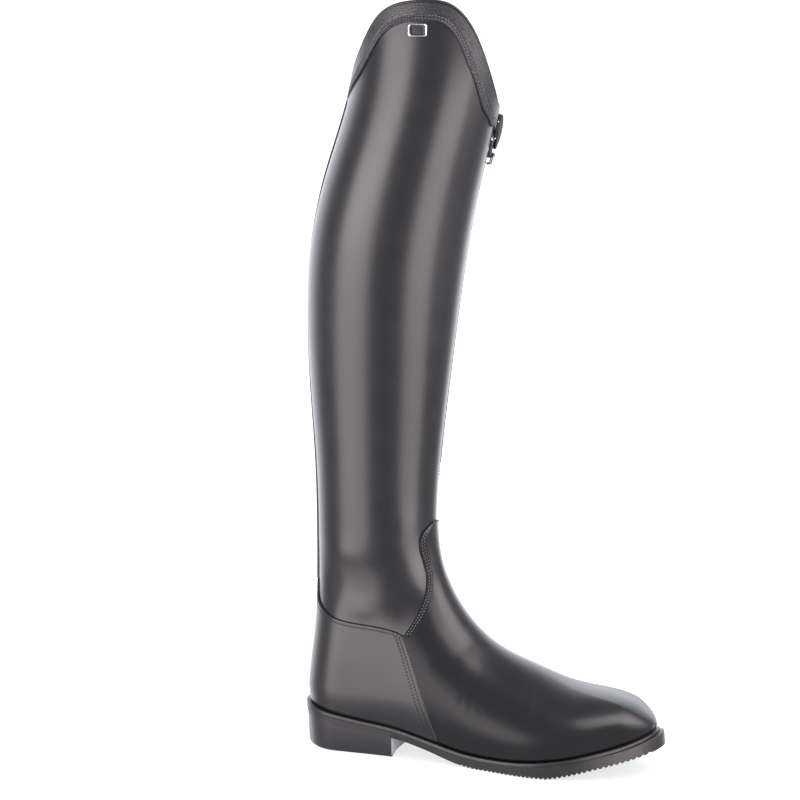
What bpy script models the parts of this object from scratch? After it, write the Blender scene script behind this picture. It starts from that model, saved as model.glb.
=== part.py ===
# Dress riding boot, right foot, built from separate pieces.
# Tables and sizes are in millimetres in the maker's frame: x runs from the back of the sole to the
# toe, y from the outer side (negative) to the inner side, z up from the floor.
# The meshes are written in metres, with the middle of the boot's floor rectangle at the origin.

import bmesh
import bpy
import numpy as np
from mathutils import Matrix, Vector

MM = 0.001

# Place of the world's origin in the maker's frame.
MIDDLE_X = 132.72
MIDDLE_Y = 0.02

# Driving sizes of the sole.
SOLE_BACK = 1.0
SOLE_TIP = 264.5
BREAST_X = 75.5
BREAST_HOLLOW = 3.0
MIDSOLE = 2.6
HEEL_SEAT_DEPTH = 7.3
LIP = 3.2
GAP = 0.3
TREAD_START = 128.0
TREAD_END = 262.0
TREAD_PITCH = 3.3
TREAD_LAND = 1.3
TREAD_DEPTH = 1.4
GROUND_START = 140.0
GROUND_END = 195.0
HEEL_BEVEL_LENGTH = 26.0
HEEL_BEVEL_HEIGHT = 2.6

# Driving sizes of the leather.
WALL = 2.2
VAMP_THICK = 1.0
COUNTER_THICK = 1.2
BAND_THICK = 1.1
BAND_WIDTH = 12.5
TUCK = 3.5
MARGIN = 9.0
INSOLE_THICK = 3.0
INSOLE_INSET = 4.6
BINDING_R = 1.1
BINDING_OUT = 0.2

# Roundness of the plan at the two ends, and how the foot's shape turns into the shaft's.
TOE_ROUND = 52.0
HEEL_ROUND = 30.0
WIDEST_SHARE = 0.45
BLEND_LOW = 60.0
BLEND_HIGH = 165.0

# Columns of faces from the back line to the front line, on each side of the boot.
SIDE_COLUMNS = 18

# The zip lies on the inner side, a little round from the front.
ZIP_TURN = 152.0
ZIP_FOOT = 205.0
ZIP_TAPE_HALF = 5.0
ZIP_RECESS = 1.0
SLIDER_Z = 432.0
PULL_Z = 428.0

# Side view sections, from the sole up to the collar: each runs from the back line to the front line.
# name, back x, back z, front x, front z
SECTIONS = [
    ("feather", 4.6, 34.3, 258.0, 30.4),
    ("toe tip", 4.4, 37.2, 256.9, 34.2),
    ("toe cap", 4.2, 40.5, 253.3, 38.8),
    ("toe top", 4.2, 44.5, 242.9, 47.5),
    ("toe ridge", 4.6, 49.0, 224.8, 53.0),
    ("ball", 5.2, 55.0, 198.2, 57.0),
    ("vamp", 6.0, 62.0, 168.9, 67.4),
    ("low instep", 7.0, 70.0, 143.1, 78.7),
    ("instep", 8.4, 81.0, 122.9, 95.7),
    ("high instep", 9.8, 97.0, 108.4, 117.2),
    ("throat", 10.6, 125.0, 98.4, 147.8),
    ("ankle", 10.6, 165.0, 97.2, 181.0),
    ("low shin", 9.4, 208.0, 99.8, 216.0),
    ("shin", 6.2, 255.0, 104.8, 260.0),
    ("calf", 4.2, 315.0, 112.0, 318.0),
    ("high calf", 7.0, 362.0, 119.0, 366.0),
    ("below knee", 17.0, 408.0, 128.0, 411.0),
    ("collar base", 32.6, 456.0, 139.2, 458.0),
    ("collar", 39.4, 484.0, 144.6, 486.0),
    ("collar tip", 43.0, 540.0, 150.0, 540.0),
]
LAST_LEVEL_SECTION = 16

# Rows of faces, counted in sections.
ROWS = [0, 0.5, 1, 1.5, 2, 2.5, 3, 3.5, 4, 5, 6, 7, 7.5, 8, 8.5, 9, 9.5, 10, 10.5, 11, 12, 13, 14, 15,
        16, 17, 17.5, 18, 18.5, 19]
FOOT_ROWS = [row for row in ROWS if row <= 12]

# Top edge of the sole: x, z.
SOLE_TOP = [
    (0, 31.5), (13, 29.9), (36, 26.6), (55, 24.0), (75, 21.6), (95, 17.5), (114, 13.4), (128, 10.7),
    (142, 9.3), (158, 9.2), (174, 10.0), (190, 11.7), (207, 14.3), (226, 18.2), (245, 22.8), (265, 29.6),
]
# Underside from the heel breast to the ground line, and from the ground line to the tip: x, z.
ARCH = [(70, 14.9), (80, 13.4), (90, 11.3), (105, 7.6), (118, 3.9), (130, 1.1), (140, 0.0)]
SPRING = [(195, 0.0), (207, 2.2), (226, 7.0), (245, 11.6), (264.5, 17.2)]

# Plan of the foot, from the middle line: x, sideways swing of the middle line, half widths of the
# feather line and of the widest level on the outer and inner side, height of that level above the sole.
FOOT = [
    (0, 0.0, 28.5, 28.5, 30.0, 30.0, 16),
    (31, 0.0, 28.8, 28.2, 30.3, 29.8, 18),
    (60, 0.0, 28.6, 26.8, 31.0, 30.0, 22),
    (90, 0.2, 29.8, 23.5, 33.0, 31.5, 26),
    (120, 0.8, 34.2, 24.5, 37.2, 34.0, 24),
    (150, 1.8, 39.6, 33.5, 42.3, 38.0, 17),
    (175, 2.6, 44.6, 38.6, 46.0, 40.6, 13),
    (200, 4.0, 45.0, 38.0, 46.2, 39.6, 12),
    (220, 5.8, 41.0, 35.0, 42.2, 36.6, 12),
    (240, 7.4, 36.5, 33.5, 38.0, 35.0, 12),
    (262, 8.8, 35.0, 34.0, 36.5, 35.5, 12),
]
# Half widths of the shaft: z, outer, inner.
SHAFT = [
    (40, 29.0, 29.0), (80, 28.5, 28.5), (120, 31.0, 31.0), (170, 34.5, 34.5), (220, 38.5, 38.5),
    (270, 44.0, 44.0), (320, 50.0, 50.0), (360, 53.0, 53.0), (400, 53.0, 53.0), (458, 51.0, 51.0),
    (540, 47.0, 47.0),
]
# Height of the rim by the turn from the back (0) to the front (180), high on the outer side.
RIM_OUTER = [
    (0, 474), (20, 485), (40, 502), (60, 524), (80, 534.6), (100, 537), (118, 534.5), (135, 520.5),
    (150, 499.5), (165, 480), (180, 466),
]
RIM_INNER = [(0, 474), (20, 465.5), (50, 457), (90, 452), (130, 452), (160, 458.5), (180, 466)]

# Edges of the overlays in the side view: x, z.
VAMP_EDGE = [
    (99.5, 169.5), (97.0, 168.2), (94.2, 164.6), (91.6, 159.0), (91.3, 152.5), (93.0, 144.0),
    (95.4, 135.0), (97.0, 126.0), (96.2, 115.0), (91.9, 103.0), (84.0, 89.5),
]
SEAM = [(84.0, 89.5), (89.5, 76.7), (95.2, 62.1), (100.5, 47.3), (105.7, 32.4), (113.0, 12.0)]
COUNTER_TOP = [
    (5.0, 123.0), (10.4, 122.0), (12.2, 112.0), (14.6, 106.0), (20.0, 102.0), (27.4, 98.7),
    (38.2, 96.4), (51.4, 95.3), (64.5, 94.4), (73.0, 93.2), (79.6, 91.6), (84.0, 89.5),
]
SEAM_HALF_GAP = 0.2


class Curve:
    """Natural cubic spline through the rows of a table."""

    def __init__(self, places, values):
        self.t = np.asarray(places, float)
        self.v = np.asarray(values, float)
        count = len(self.t)
        step = np.diff(self.t)
        matrix = np.zeros((count, count))
        right = np.zeros(count)
        matrix[0, 0] = matrix[-1, -1] = 1.0
        for i in range(1, count - 1):
            matrix[i, i - 1] = step[i - 1]
            matrix[i, i] = 2.0 * (step[i - 1] + step[i])
            matrix[i, i + 1] = step[i]
            slope_after = (self.v[i + 1] - self.v[i]) / step[i]
            slope_before = (self.v[i] - self.v[i - 1]) / step[i - 1]
            right[i] = 6.0 * (slope_after - slope_before)
        self.m = np.linalg.solve(matrix, right)

    def __call__(self, place):
        place = np.clip(place, self.t[0], self.t[-1])
        i = np.clip(np.searchsorted(self.t, place, side="right") - 1, 0, len(self.t) - 2)
        step = self.t[i + 1] - self.t[i]
        a = (self.t[i + 1] - place) / step
        b = (place - self.t[i]) / step
        bend = (a ** 3 - a) * self.m[i] + (b ** 3 - b) * self.m[i + 1]
        return a * self.v[i] + b * self.v[i + 1] + bend * step * step / 6.0


def columns(table, *wanted):
    """Curves over a table's first column, one for each wanted column."""
    rows = np.array(table, float)
    return [Curve(rows[:, 0], rows[:, k]) for k in wanted]


def side_line(x_column, z_column):
    """A line of the side view: its length at each section, x and z by length, and dense samples."""
    points = np.array([[row[x_column], row[z_column]] for row in SECTIONS], float)
    length = np.concatenate([[0.0], np.cumsum(np.linalg.norm(np.diff(points, axis=0), axis=1))])
    by_section = Curve(np.arange(len(SECTIONS)), length)
    x_curve = Curve(length, points[:, 0])
    z_curve = Curve(length, points[:, 1])
    dense = np.linspace(0.0, length[-1], 4001)
    return by_section, x_curve, z_curve, x_curve(dense), z_curve(dense)


BACK_LENGTH, BACK_X, BACK_Z, BACK_XS, BACK_ZS = side_line(1, 2)
FRONT_LENGTH, FRONT_X, FRONT_Z, FRONT_XS, FRONT_ZS = side_line(3, 4)
FOREMOST = int(np.argmax(FRONT_XS))
THROAT = FOREMOST + int(np.argmin(FRONT_XS[FOREMOST:]))
TOP_XS = FRONT_XS[FOREMOST:THROAT + 1][::-1]
TOP_ZS = FRONT_ZS[FOREMOST:THROAT + 1][::-1]
RIDGE_BACK = 106.0
RIDGE_TOP, RIDGE_NEXT = np.interp([RIDGE_BACK, RIDGE_BACK + 2.0], TOP_XS, TOP_ZS)
RIDGE_SLOPE = (RIDGE_TOP - RIDGE_NEXT) / 2.0

SWING, FEATHER_OUTER, FEATHER_INNER, WIDE_OUTER, WIDE_INNER, WIDE_RISE = columns(FOOT, 1, 2, 3, 4, 5, 6)
SHAFT_OUTER, SHAFT_INNER = columns(SHAFT, 1, 2)
RIM_OUTER_AT, = columns(RIM_OUTER, 1)
RIM_INNER_AT, = columns(RIM_INNER, 1)
SOLE_TOP_AT, = columns(SOLE_TOP, 1)
ARCH_AT, = columns(ARCH, 1)
SPRING_AT, = columns(SPRING, 1)

OUTER, INNER = -1, 1


def ease(value):
    """Smooth step from 0 to 1."""
    value = np.clip(value, 0.0, 1.0)
    return value ** 3 * (value * (6.0 * value - 15.0) + 10.0)


def round_end(value):
    """Quarter circle from 0 at the end to 1 at one rounding length from it."""
    value = np.clip(value, 0.0, 1.0)
    return np.sqrt(np.maximum(0.0, 1.0 - (1.0 - value) ** 2))


def back_at(z):
    return np.interp(z, BACK_ZS, BACK_XS)


def front_at(z):
    return np.interp(z, FRONT_ZS, FRONT_XS)


def top_at(x):
    """Height of the ridge of the foot over x, led straight on up behind the instep."""
    return np.where(x < RIDGE_BACK, RIDGE_TOP + (RIDGE_BACK - x) * RIDGE_SLOPE, np.interp(x, TOP_XS, TOP_ZS))


def shaft_share(z):
    return ease((z - BLEND_LOW) / (BLEND_HIGH - BLEND_LOW))


def middle(x, z):
    return SWING(x) * (1.0 - shaft_share(z))


def half_width(x, z, side):
    """Distance from the middle line to the leather at a point of the side view."""
    feather, wide = (FEATHER_OUTER, WIDE_OUTER) if side == OUTER else (FEATHER_INNER, WIDE_INNER)
    shaft_width = SHAFT_OUTER if side == OUTER else SHAFT_INNER
    low = SOLE_TOP_AT(x)
    level = low + np.minimum(WIDE_RISE(x), WIDEST_SHARE * (top_at(x) - low))
    climb = np.clip((z - low) / (level - low), 0.0, 1.0)
    plan = feather(x) + (wide(x) - feather(x)) * np.sin(climb * np.pi / 2.0)
    heel_end = round_end((x - back_at(z)) / HEEL_ROUND)
    toe_end = round_end((FRONT_XS[FOREMOST] - x) / TOE_ROUND)
    over = np.clip((z - level) / np.maximum(top_at(x) - level, 0.001), 0.0, 1.0)
    foot = plan * heel_end * toe_end * np.sqrt(1.0 - over ** 2)
    back, front = back_at(z), front_at(z)
    half = (front - back) / 2.0
    shaft = shaft_width(z) * round_end((x - back) / half) * round_end((front - x) / half)
    share = shaft_share(z)
    return foot * (1.0 - share) + shaft * share


def wall_point(turn, z, side):
    """Point of the shaft's wall by the turn from the back line, in degrees."""
    share = (1.0 - np.cos(np.radians(turn))) / 2.0
    x = back_at(z) * (1.0 - share) + front_at(z) * share
    y = middle(x, z) + side * half_width(x, z, side)
    return np.array([float(x), float(y), float(z)])


def rim_at(turn, side):
    return (RIM_OUTER_AT if side == OUTER else RIM_INNER_AT)(turn)


def section_ring(section, drop=None):
    """One closed ring of the wall, from the back line round the outer side to the front and back."""
    ring = []
    turns = [(k * 180.0 / SIDE_COLUMNS, OUTER) for k in range(SIDE_COLUMNS + 1)]
    turns += [(k * 180.0 / SIDE_COLUMNS, INNER) for k in range(SIDE_COLUMNS - 1, 0, -1)]
    for turn, side in turns:
        share = (1.0 - np.cos(np.radians(turn))) / 2.0
        if section <= LAST_LEVEL_SECTION:
            at_back, at_front = BACK_LENGTH(section), FRONT_LENGTH(section)
            x = BACK_X(at_back) * (1.0 - share) + FRONT_X(at_front) * share
            z = BACK_Z(at_back) * (1.0 - share) + FRONT_Z(at_front) * share
            chord = SECTIONS[0][2] * (1.0 - share) + SECTIONS[0][4] * share
            z += (1.0 - ease(section / 6.0)) * (SOLE_TOP_AT(x) + TUCK - chord)
        else:
            rise = (section - LAST_LEVEL_SECTION) / (len(SECTIONS) - 1 - LAST_LEVEL_SECTION)
            base = BACK_Z(BACK_LENGTH(LAST_LEVEL_SECTION)) * (1.0 - share)
            base += FRONT_Z(FRONT_LENGTH(LAST_LEVEL_SECTION)) * share
            top = rim_at(turn, side) if drop is None else rim_at(turn, side) - drop(turn, side)
            z = base + (top - base) * rise
            x = back_at(z) * (1.0 - share) + front_at(z) * share
        ring.append([x, middle(x, z) + side * half_width(x, z, side), z])
    return np.array(ring, float)


def ring_inward(ring):
    """Level unit vectors that point into a closed ring."""
    along = np.roll(ring, -1, axis=0) - np.roll(ring, 1, axis=0)
    inward = np.stack([-along[:, 1], along[:, 0], np.zeros(len(ring))], axis=1)
    return inward / np.linalg.norm(inward, axis=1)[:, None]


def tuck_rings(feather):
    """Rings that turn the leather under onto the sole, from the inner edge of the margin outward."""
    inward = ring_inward(feather)
    rings = []
    for reach, angle in [(MARGIN, 90.0), (TUCK, 90.0), (TUCK, 60.0), (TUCK, 30.0)]:
        across = reach if angle == 90.0 else TUCK * (1.0 - np.cos(np.radians(angle)))
        ring = feather + inward * across
        height = GAP + 0.1 + (TUCK - GAP - 0.1) * (1.0 - np.sin(np.radians(angle)))
        ring[:, 2] = SOLE_TOP_AT(ring[:, 0]) + height
        rings.append(ring)
    return rings


def offset_rings(rings, distance):
    """The same rings moved outward along the surface's own directions."""
    grid = np.array(rings)
    around = np.roll(grid, -1, axis=1) - np.roll(grid, 1, axis=1)
    up = np.gradient(grid, axis=0)
    normal = np.cross(around, up)
    normal /= np.linalg.norm(normal, axis=2)[:, :, None]
    return list(grid + normal * distance)


def world(point):
    return Vector(((point[0] - MIDDLE_X) * MM, (point[1] - MIDDLE_Y) * MM, point[2] * MM))


# Materials

def material(name, colour, roughness, metallic=0.0):
    made = bpy.data.materials.new(name)
    made.use_nodes = True
    shader = made.node_tree.nodes["Principled BSDF"]
    shader.inputs["Base Color"].default_value = (*colour, 1.0)
    shader.inputs["Roughness"].default_value = roughness
    shader.inputs["Metallic"].default_value = metallic
    return made


BLACK = (0.012, 0.012, 0.013)


def leather(name):
    return material(name, BLACK, 0.32)


# Objects

def add_object(name, mesh, finish, collection, origin=None):
    obj = bpy.data.objects.new(name, mesh)
    collection.objects.link(obj)
    if finish is not None:
        mesh.materials.append(finish)
    if origin is not None:
        obj.location = origin
        mesh.transform(Matrix.Translation(-Vector(origin)))
    return obj


def mesh_from(name, points, faces):
    mesh = bpy.data.meshes.new(name)
    mesh.from_pydata([world(p) for p in points], [], faces)
    work = bmesh.new()
    work.from_mesh(mesh)
    bmesh.ops.recalc_face_normals(work, faces=work.faces)
    work.to_mesh(mesh)
    work.free()
    mesh.shade_smooth()
    return mesh


def ring_faces(rings, count):
    """Quads between closed rings, facing outward when the rings climb."""
    faces = []
    for i in range(rings - 1):
        for k in range(count):
            after = (k + 1) % count
            faces.append((i * count + k, i * count + after, (i + 1) * count + after, (i + 1) * count + k))
    return faces


def open_wall(name, rings):
    """An open tube of leather through closed rings; triangles, so that offset copies stay parallel."""
    count = len(rings[0])
    faces = []
    for a, b, c, d in ring_faces(len(rings), count):
        faces += [(a, b, c), (a, c, d)]
    mesh = bpy.data.meshes.new(name)
    mesh.from_pydata([world(p) for ring in rings for p in ring], [], faces)
    mesh.shade_smooth()
    return mesh


def solid_loft(name, sections):
    """A closed body through closed sections of equal point counts, with flat ends."""
    count = len(sections[0])
    points = [p for section in sections for p in section]
    last = (len(sections) - 1) * count
    faces = ring_faces(len(sections), count)
    faces.append(tuple(range(count)))
    faces.append(tuple(last + k for k in range(count)))
    return mesh_from(name, points, faces)


def swept(name, profile, frames):
    """A profile of (across, out) pairs carried along frames of (point, across, out) vectors."""
    sections = []
    for point, across, out in frames:
        sections.append([point + across * a + out * o for a, o in profile])
    return solid_loft(name, sections)


def thicken(obj, thickness, outward):
    shell = obj.modifiers.new("wall", "SOLIDIFY")
    shell.thickness = thickness * MM
    shell.offset = 1.0 if outward else -1.0


def boolean(obj, cutter, operation):
    cut = obj.modifiers.new(cutter.name, "BOOLEAN")
    cut.operation = operation
    cut.solver = "EXACT"
    cut.object = cutter


def cutter_object(name, mesh, collection):
    obj = add_object(name, mesh, None, collection)
    obj.hide_render = True
    obj.display_type = "WIRE"
    return obj


def side_prism(name, outline, collection, low_y=-90.0, high_y=90.0):
    """A cutter with the given side view outline, running across the boot."""
    sections = [[np.array([x, y, z]) for x, z in outline] for y in (low_y, high_y)]
    return cutter_object(name, solid_loft(name, sections), collection)


def smooth_edge(points, per_span=3):
    """A smooth line through side view points."""
    points = np.array(points, float)
    length = np.concatenate([[0.0], np.cumsum(np.linalg.norm(np.diff(points, axis=0), axis=1))])
    x_curve, z_curve = Curve(length, points[:, 0]), Curve(length, points[:, 1])
    places = []
    for start, end in zip(length[:-1], length[1:]):
        places += [start + (end - start) * k / per_span for k in range(per_span)]
    places.append(length[-1])
    return [(float(x_curve(p)), float(z_curve(p))) for p in places]


# Leather pieces

def build_upper(parts, cutters):
    rings = [section_ring(row) for row in ROWS]
    rings = tuck_rings(rings[0]) + rings
    upper = add_object("upper", open_wall("upper", rings), leather("shaft_leather"), parts)
    thicken(upper, WALL, outward=False)
    recess = swept("zip_recess", zip_recess_profile(), zip_frames(ZIP_FOOT - 2.0, 480.0))
    cutter = cutter_object("zip_recess", recess, cutters)
    boolean(upper, cutter, "DIFFERENCE")
    return cutter


def overlay(name, rings, thickness, finish, parts):
    obj = add_object(name, open_wall(name, offset_rings(rings, GAP)), finish, parts)
    thicken(obj, thickness, outward=True)
    return obj


def build_vamp(parts, cutters):
    vamp = overlay("vamp", [section_ring(row) for row in FOOT_ROWS], VAMP_THICK, leather("vamp_leather"), parts)
    seam = [(x + SEAM_HALF_GAP, z) for x, z in smooth_edge(SEAM)]
    outline = smooth_edge(VAMP_EDGE)[:-1] + seam + [(112.0, -20.0), (300.0, -20.0), (300.0, 169.5)]
    boolean(vamp, side_prism("vamp_outline", outline, cutters), "INTERSECT")


def build_counter(parts, cutters):
    rings = [section_ring(row) for row in FOOT_ROWS]
    counter = overlay("counter", rings, COUNTER_THICK, leather("counter_leather"), parts)
    seam = [(x - SEAM_HALF_GAP, z) for x, z in smooth_edge(SEAM)]
    outline = smooth_edge(COUNTER_TOP)[:-1] + seam + [(112.0, -20.0), (-20.0, -20.0), (-20.0, 123.0)]
    boolean(counter, side_prism("counter_outline", outline, cutters), "INTERSECT")


def band_drop(turn, side):
    """How far below the rim the lower edge of the collar band lies: more where the rim is steep."""
    rim = RIM_OUTER_AT if side == OUTER else RIM_INNER_AT
    before = wall_point(max(turn - 2.0, 0.0), rim(max(turn - 2.0, 0.0)), side)
    after = wall_point(min(turn + 2.0, 180.0), rim(min(turn + 2.0, 180.0)), side)
    level = np.hypot(after[0] - before[0], after[1] - before[1])
    slope = (after[2] - before[2]) / level
    return BAND_WIDTH * np.sqrt(1.0 + min(abs(slope), 1.6) ** 2)


def build_band(parts, recess):
    top_section = len(SECTIONS) - 1
    low = section_ring(top_section, band_drop)
    top = section_ring(top_section)
    rings = [low + (top - low) * k / 3.0 for k in range(3)] + [top]
    for ring in rings[1:3]:
        for point in ring:
            side = OUTER if point[1] < 0.0 else INNER
            point[1] = middle(point[0], point[2]) + side * half_width(point[0], point[2], side)
    band = overlay("collar_band", rings, BAND_THICK, leather("band_leather"), parts)
    boolean(band, recess, "DIFFERENCE")


def build_binding(parts):
    """A rolled bead that caps the edges of the wall and the band along the rim."""
    top_section = len(SECTIONS) - 1
    rings = [section_ring(top_section - 0.2), section_ring(top_section)]
    out = (np.array(offset_rings(rings, 1.0)) - np.array(rings))[1]
    along = np.roll(rings[1], -1, axis=0) - np.roll(rings[1], 1, axis=0)
    up = np.cross(out, along)
    up *= np.sign(up[:, 2:3]) / np.linalg.norm(up, axis=1)[:, None]
    places = rings[1] + out * BINDING_OUT + up * (BINDING_R + GAP + 0.1)
    add_object("collar_binding", tube("collar_binding", places, BINDING_R, 1), leather("binding_leather"), parts)


def tube(name, places, radius, resolution):
    """A closed round wire through places."""
    data = bpy.data.curves.new(name, "CURVE")
    data.dimensions = "3D"
    data.bevel_depth = radius * MM
    data.bevel_resolution = resolution
    spline = data.splines.new("POLY")
    spline.points.add(len(places) - 1)
    for point, place in zip(spline.points, places):
        point.co = (*world(place), 1.0)
    spline.use_cyclic_u = True
    curve = bpy.data.objects.new(name + "_curve", data)
    bpy.context.scene.collection.objects.link(curve)
    made = bpy.data.meshes.new_from_object(curve.evaluated_get(bpy.context.evaluated_depsgraph_get()))
    bpy.data.objects.remove(curve)
    made.name = name
    weld(made)
    return made


def weld(mesh):
    work = bmesh.new()
    work.from_mesh(mesh)
    bmesh.ops.remove_doubles(work, verts=work.verts, dist=0.00001)
    bmesh.ops.recalc_face_normals(work, faces=work.faces)
    work.to_mesh(mesh)
    work.free()
    mesh.shade_smooth()


def wall_frames(turn, side, heights):
    """Frames up the wall: point, level direction across, direction out of the wall."""
    frames = []
    for z in heights:
        point = wall_point(turn, z, side)
        across = wall_point(turn + 1.0, z, side) - wall_point(turn - 1.0, z, side)
        across[2] = 0.0
        up = wall_point(turn, z + 2.0, side) - wall_point(turn, z - 2.0, side)
        across /= np.linalg.norm(across)
        out = np.cross(across, up / np.linalg.norm(up))
        if out[1] * side < 0.0:
            out = -out
        frames.append((point, across, out))
    return frames


def build_back_stay(parts):
    """The narrow strip over the back seam, from the counter's point up to the collar band."""
    frames = []
    for z in np.linspace(124.0, 457.0, 22):
        slope = back_at(z + 2.0) - back_at(z - 2.0)
        out = np.array([-4.0, 0.0, slope])
        point = np.array([float(back_at(z)), 0.0, z])
        frames.append((point, np.array([0.0, 1.0, 0.0]), out / np.linalg.norm(out)))
    profile = [(-3.4, GAP), (3.4, GAP), (3.1, 1.1), (-3.1, 1.1)]
    add_object("back_stay", swept("back_stay", profile, frames), leather("stay_leather"), parts)


# Zip

def zip_recess_profile():
    reach = ZIP_TAPE_HALF + GAP
    return [(-reach, -ZIP_RECESS), (reach, -ZIP_RECESS), (reach, 3.0), (-reach, 3.0)]


def zip_frames(low, high):
    return wall_frames(ZIP_TURN, INNER, np.linspace(low, high, 20))


def build_zip_chain(parts):
    """Tape with the closed coil standing up along its middle."""
    half = ZIP_TAPE_HALF
    bottom, face, crest = -ZIP_RECESS + GAP, -0.1, 1.1
    profile = [
        (-half, bottom), (half, bottom), (half, face), (2.4, face), (1.7, crest), (-1.7, crest),
        (-2.4, face), (-half, face),
    ]
    top = float(rim_at(ZIP_TURN, INNER)) - 1.5
    mesh = swept("zip_chain", profile, zip_frames(ZIP_FOOT, top))
    add_object("zip_chain", mesh, material("zip_tape", (0.02, 0.02, 0.021), 0.7), parts)


def zip_place(z):
    """Point on the wall, and the across, out and up directions beside the slider."""
    point, across, out = wall_frames(ZIP_TURN, INNER, [z])[0]
    up = np.cross(out, across)
    up = up if up[2] > 0.0 else -up
    return point, across, out, up


def block(name, profile, half_width_across, place):
    """A body with the given (out, up) profile, level across the zip."""
    point, across, out, up = place
    sections = []
    for shift in (-half_width_across, half_width_across):
        sections.append([point + across * shift + out * o + up * u for o, u in profile])
    return solid_loft(name, sections)


def arc(centre, radius, start, end, steps):
    """Points on an arc, by angles in degrees."""
    angles = np.radians(np.linspace(start, end, steps))
    return [(centre[0] + radius * np.cos(a), centre[1] + radius * np.sin(a)) for a in angles]


PULL_OUT = 4.7
PULL_WIRE = 0.55


def build_slider(parts, cutters):
    """Slider body with the bridge that the pull hangs in."""
    nickel = material("zip_metal_dark", (0.05, 0.05, 0.052), 0.35, 1.0)
    place = zip_place(SLIDER_Z)
    body = block("zip_slider", [(1.4, -6.0), (2.7, -6.2), (3.0, -5.6), (3.0, 5.6), (2.7, 6.0), (1.4, 6.0)],
                 4.2, place)
    slider = add_object("zip_slider", body, nickel, parts)
    lift = PULL_Z - SLIDER_Z
    bridge = [(2.5, lift - 2.2), (2.5, lift + 2.2)] + arc((PULL_OUT, lift), 1.75, 80.0, -80.0, 8)
    joined = cutter_object("slider_bridge", block("slider_bridge", bridge, 1.3, place), cutters)
    boolean(slider, joined, "UNION")
    hole = block("slider_eye", arc((PULL_OUT, lift), PULL_WIRE + GAP, 0.0, 330.0, 12), 6.0, place)
    boolean(slider, cutter_object("slider_eye", hole, cutters), "DIFFERENCE")


def build_pull(parts):
    """A bent wire loop that hangs in the slider's eye, with its foot turned in to the boot."""
    point, across, out, up = zip_place(SLIDER_Z)
    pivot = point + out * PULL_OUT + up * (PULL_Z - SLIDER_Z)
    route = [(-2.4, 0.0, 0.0), (2.4, 0.0, 0.0), (2.9, 0.0, -0.5), (2.9, 0.0, -5.6), (2.9, -0.5, -6.1)]
    route += [(2.6, -2.4, -6.6), (1.8, -2.7, -6.7), (-1.8, -2.7, -6.7), (-2.6, -2.4, -6.6)]
    route += [(-2.9, -0.5, -6.1), (-2.9, 0.0, -5.6), (-2.9, 0.0, -0.5)]
    places = [pivot + across * a + out * o + up * u for a, o, u in route]
    made = tube("zip_pull", places, PULL_WIRE, 2)
    finish = material("pull_metal", (0.62, 0.62, 0.63), 0.25, 1.0)
    add_object("zip_pull", made, finish, parts, origin=world(pivot))


def build_guard_tab(parts):
    """Leather tab sewn to the collar, hanging over the top of the zip."""
    place = zip_place(SLIDER_Z)
    outline = [(2.0, 25.5), (4.6, 25.5), (5.6, 22.0), (6.1, 17.0), (6.2, 12.0), (5.9, 7.0), (5.2, 2.6), (4.6, 0.4)]
    inner = [(3.5, 0.4), (3.5, 7.0), (3.9, 12.0), (3.7, 16.0), (2.4, 19.5), (2.0, 21.5)]
    mesh = block("zip_guard_tab", outline + inner, 6.0, place)
    add_object("zip_guard_tab", mesh, leather("tab_leather"), parts)


# Badge

BADGE_TURN = 96.0
BADGE_Z = 518.5


def build_badge(parts):
    """A plain plate with a raised rim, below the apex of the collar."""
    point, across, out = wall_frames(BADGE_TURN, OUTER, [BADGE_Z])[0]
    up = np.cross(out, across)
    up = up if up[2] > 0.0 else -up
    long_half, short_half, corner = 6.6, 4.3, 1.6
    outline = []
    for turn, (cx, cz) in zip((0.0, 90.0, 180.0, 270.0), ((1, 1), (-1, 1), (-1, -1), (1, -1))):
        centre = (cx * (long_half - corner), cz * (short_half - corner))
        outline += arc(centre, corner, turn, turn + 90.0, 4)
    sections = []
    for scale, height in [(1.0, 0.45), (1.0, 1.5), (0.94, 1.75), (0.84, 1.75), (0.80, 1.3)]:
        sections.append([point + across * a * scale + up * u * scale + out * height for a, u in outline])
    add_object("badge_plate", solid_loft("badge_plate", sections), material("nickel", (0.7, 0.7, 0.7), 0.2, 1.0), parts)


# Sole

def sole_half(x, side, grow=0.0, back=SOLE_BACK, tip=SOLE_TIP):
    """Half width of the sole from its middle line, with a wider or narrower edge by grow."""
    feather = FEATHER_OUTER if side == OUTER else FEATHER_INNER
    ends = round_end((x - back) / HEEL_ROUND) * round_end((tip - x) / TOE_ROUND)
    return (feather(x) + LIP + grow) * ends


def underside(x):
    """Underside of the outsole without its tread."""
    if x < GROUND_START:
        return float(ARCH_AT(x))
    if x > GROUND_END:
        return float(SPRING_AT(x))
    return 0.0


def end_stations(back, tip, middle_step):
    """Places along the sole, close together at its round ends."""
    steps = 7
    heel = [back + HEEL_ROUND * (1.0 - np.cos(np.radians(90.0 * (k + 0.35) / steps))) for k in range(steps)]
    toe = [tip - TOE_ROUND * (1.0 - np.cos(np.radians(90.0 * (k + 0.35) / steps))) for k in range(steps)]
    count = int((toe[-1] - heel[-1]) / middle_step)
    between = list(np.linspace(heel[-1], toe[-1], count + 2)[1:-1])
    return heel + between + toe[::-1]


def plate_section(x, levels, back, tip):
    """Closed section across the sole: levels are (height, grow) from the top down, on both sides."""
    swing = float(SWING(x))
    outer = [np.array([x, swing - sole_half(x, OUTER, grow, back, tip), z]) for z, grow in levels]
    inner = [np.array([x, swing + sole_half(x, INNER, grow, back, tip), z]) for z, grow in levels]
    return outer + inner[::-1]


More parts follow.
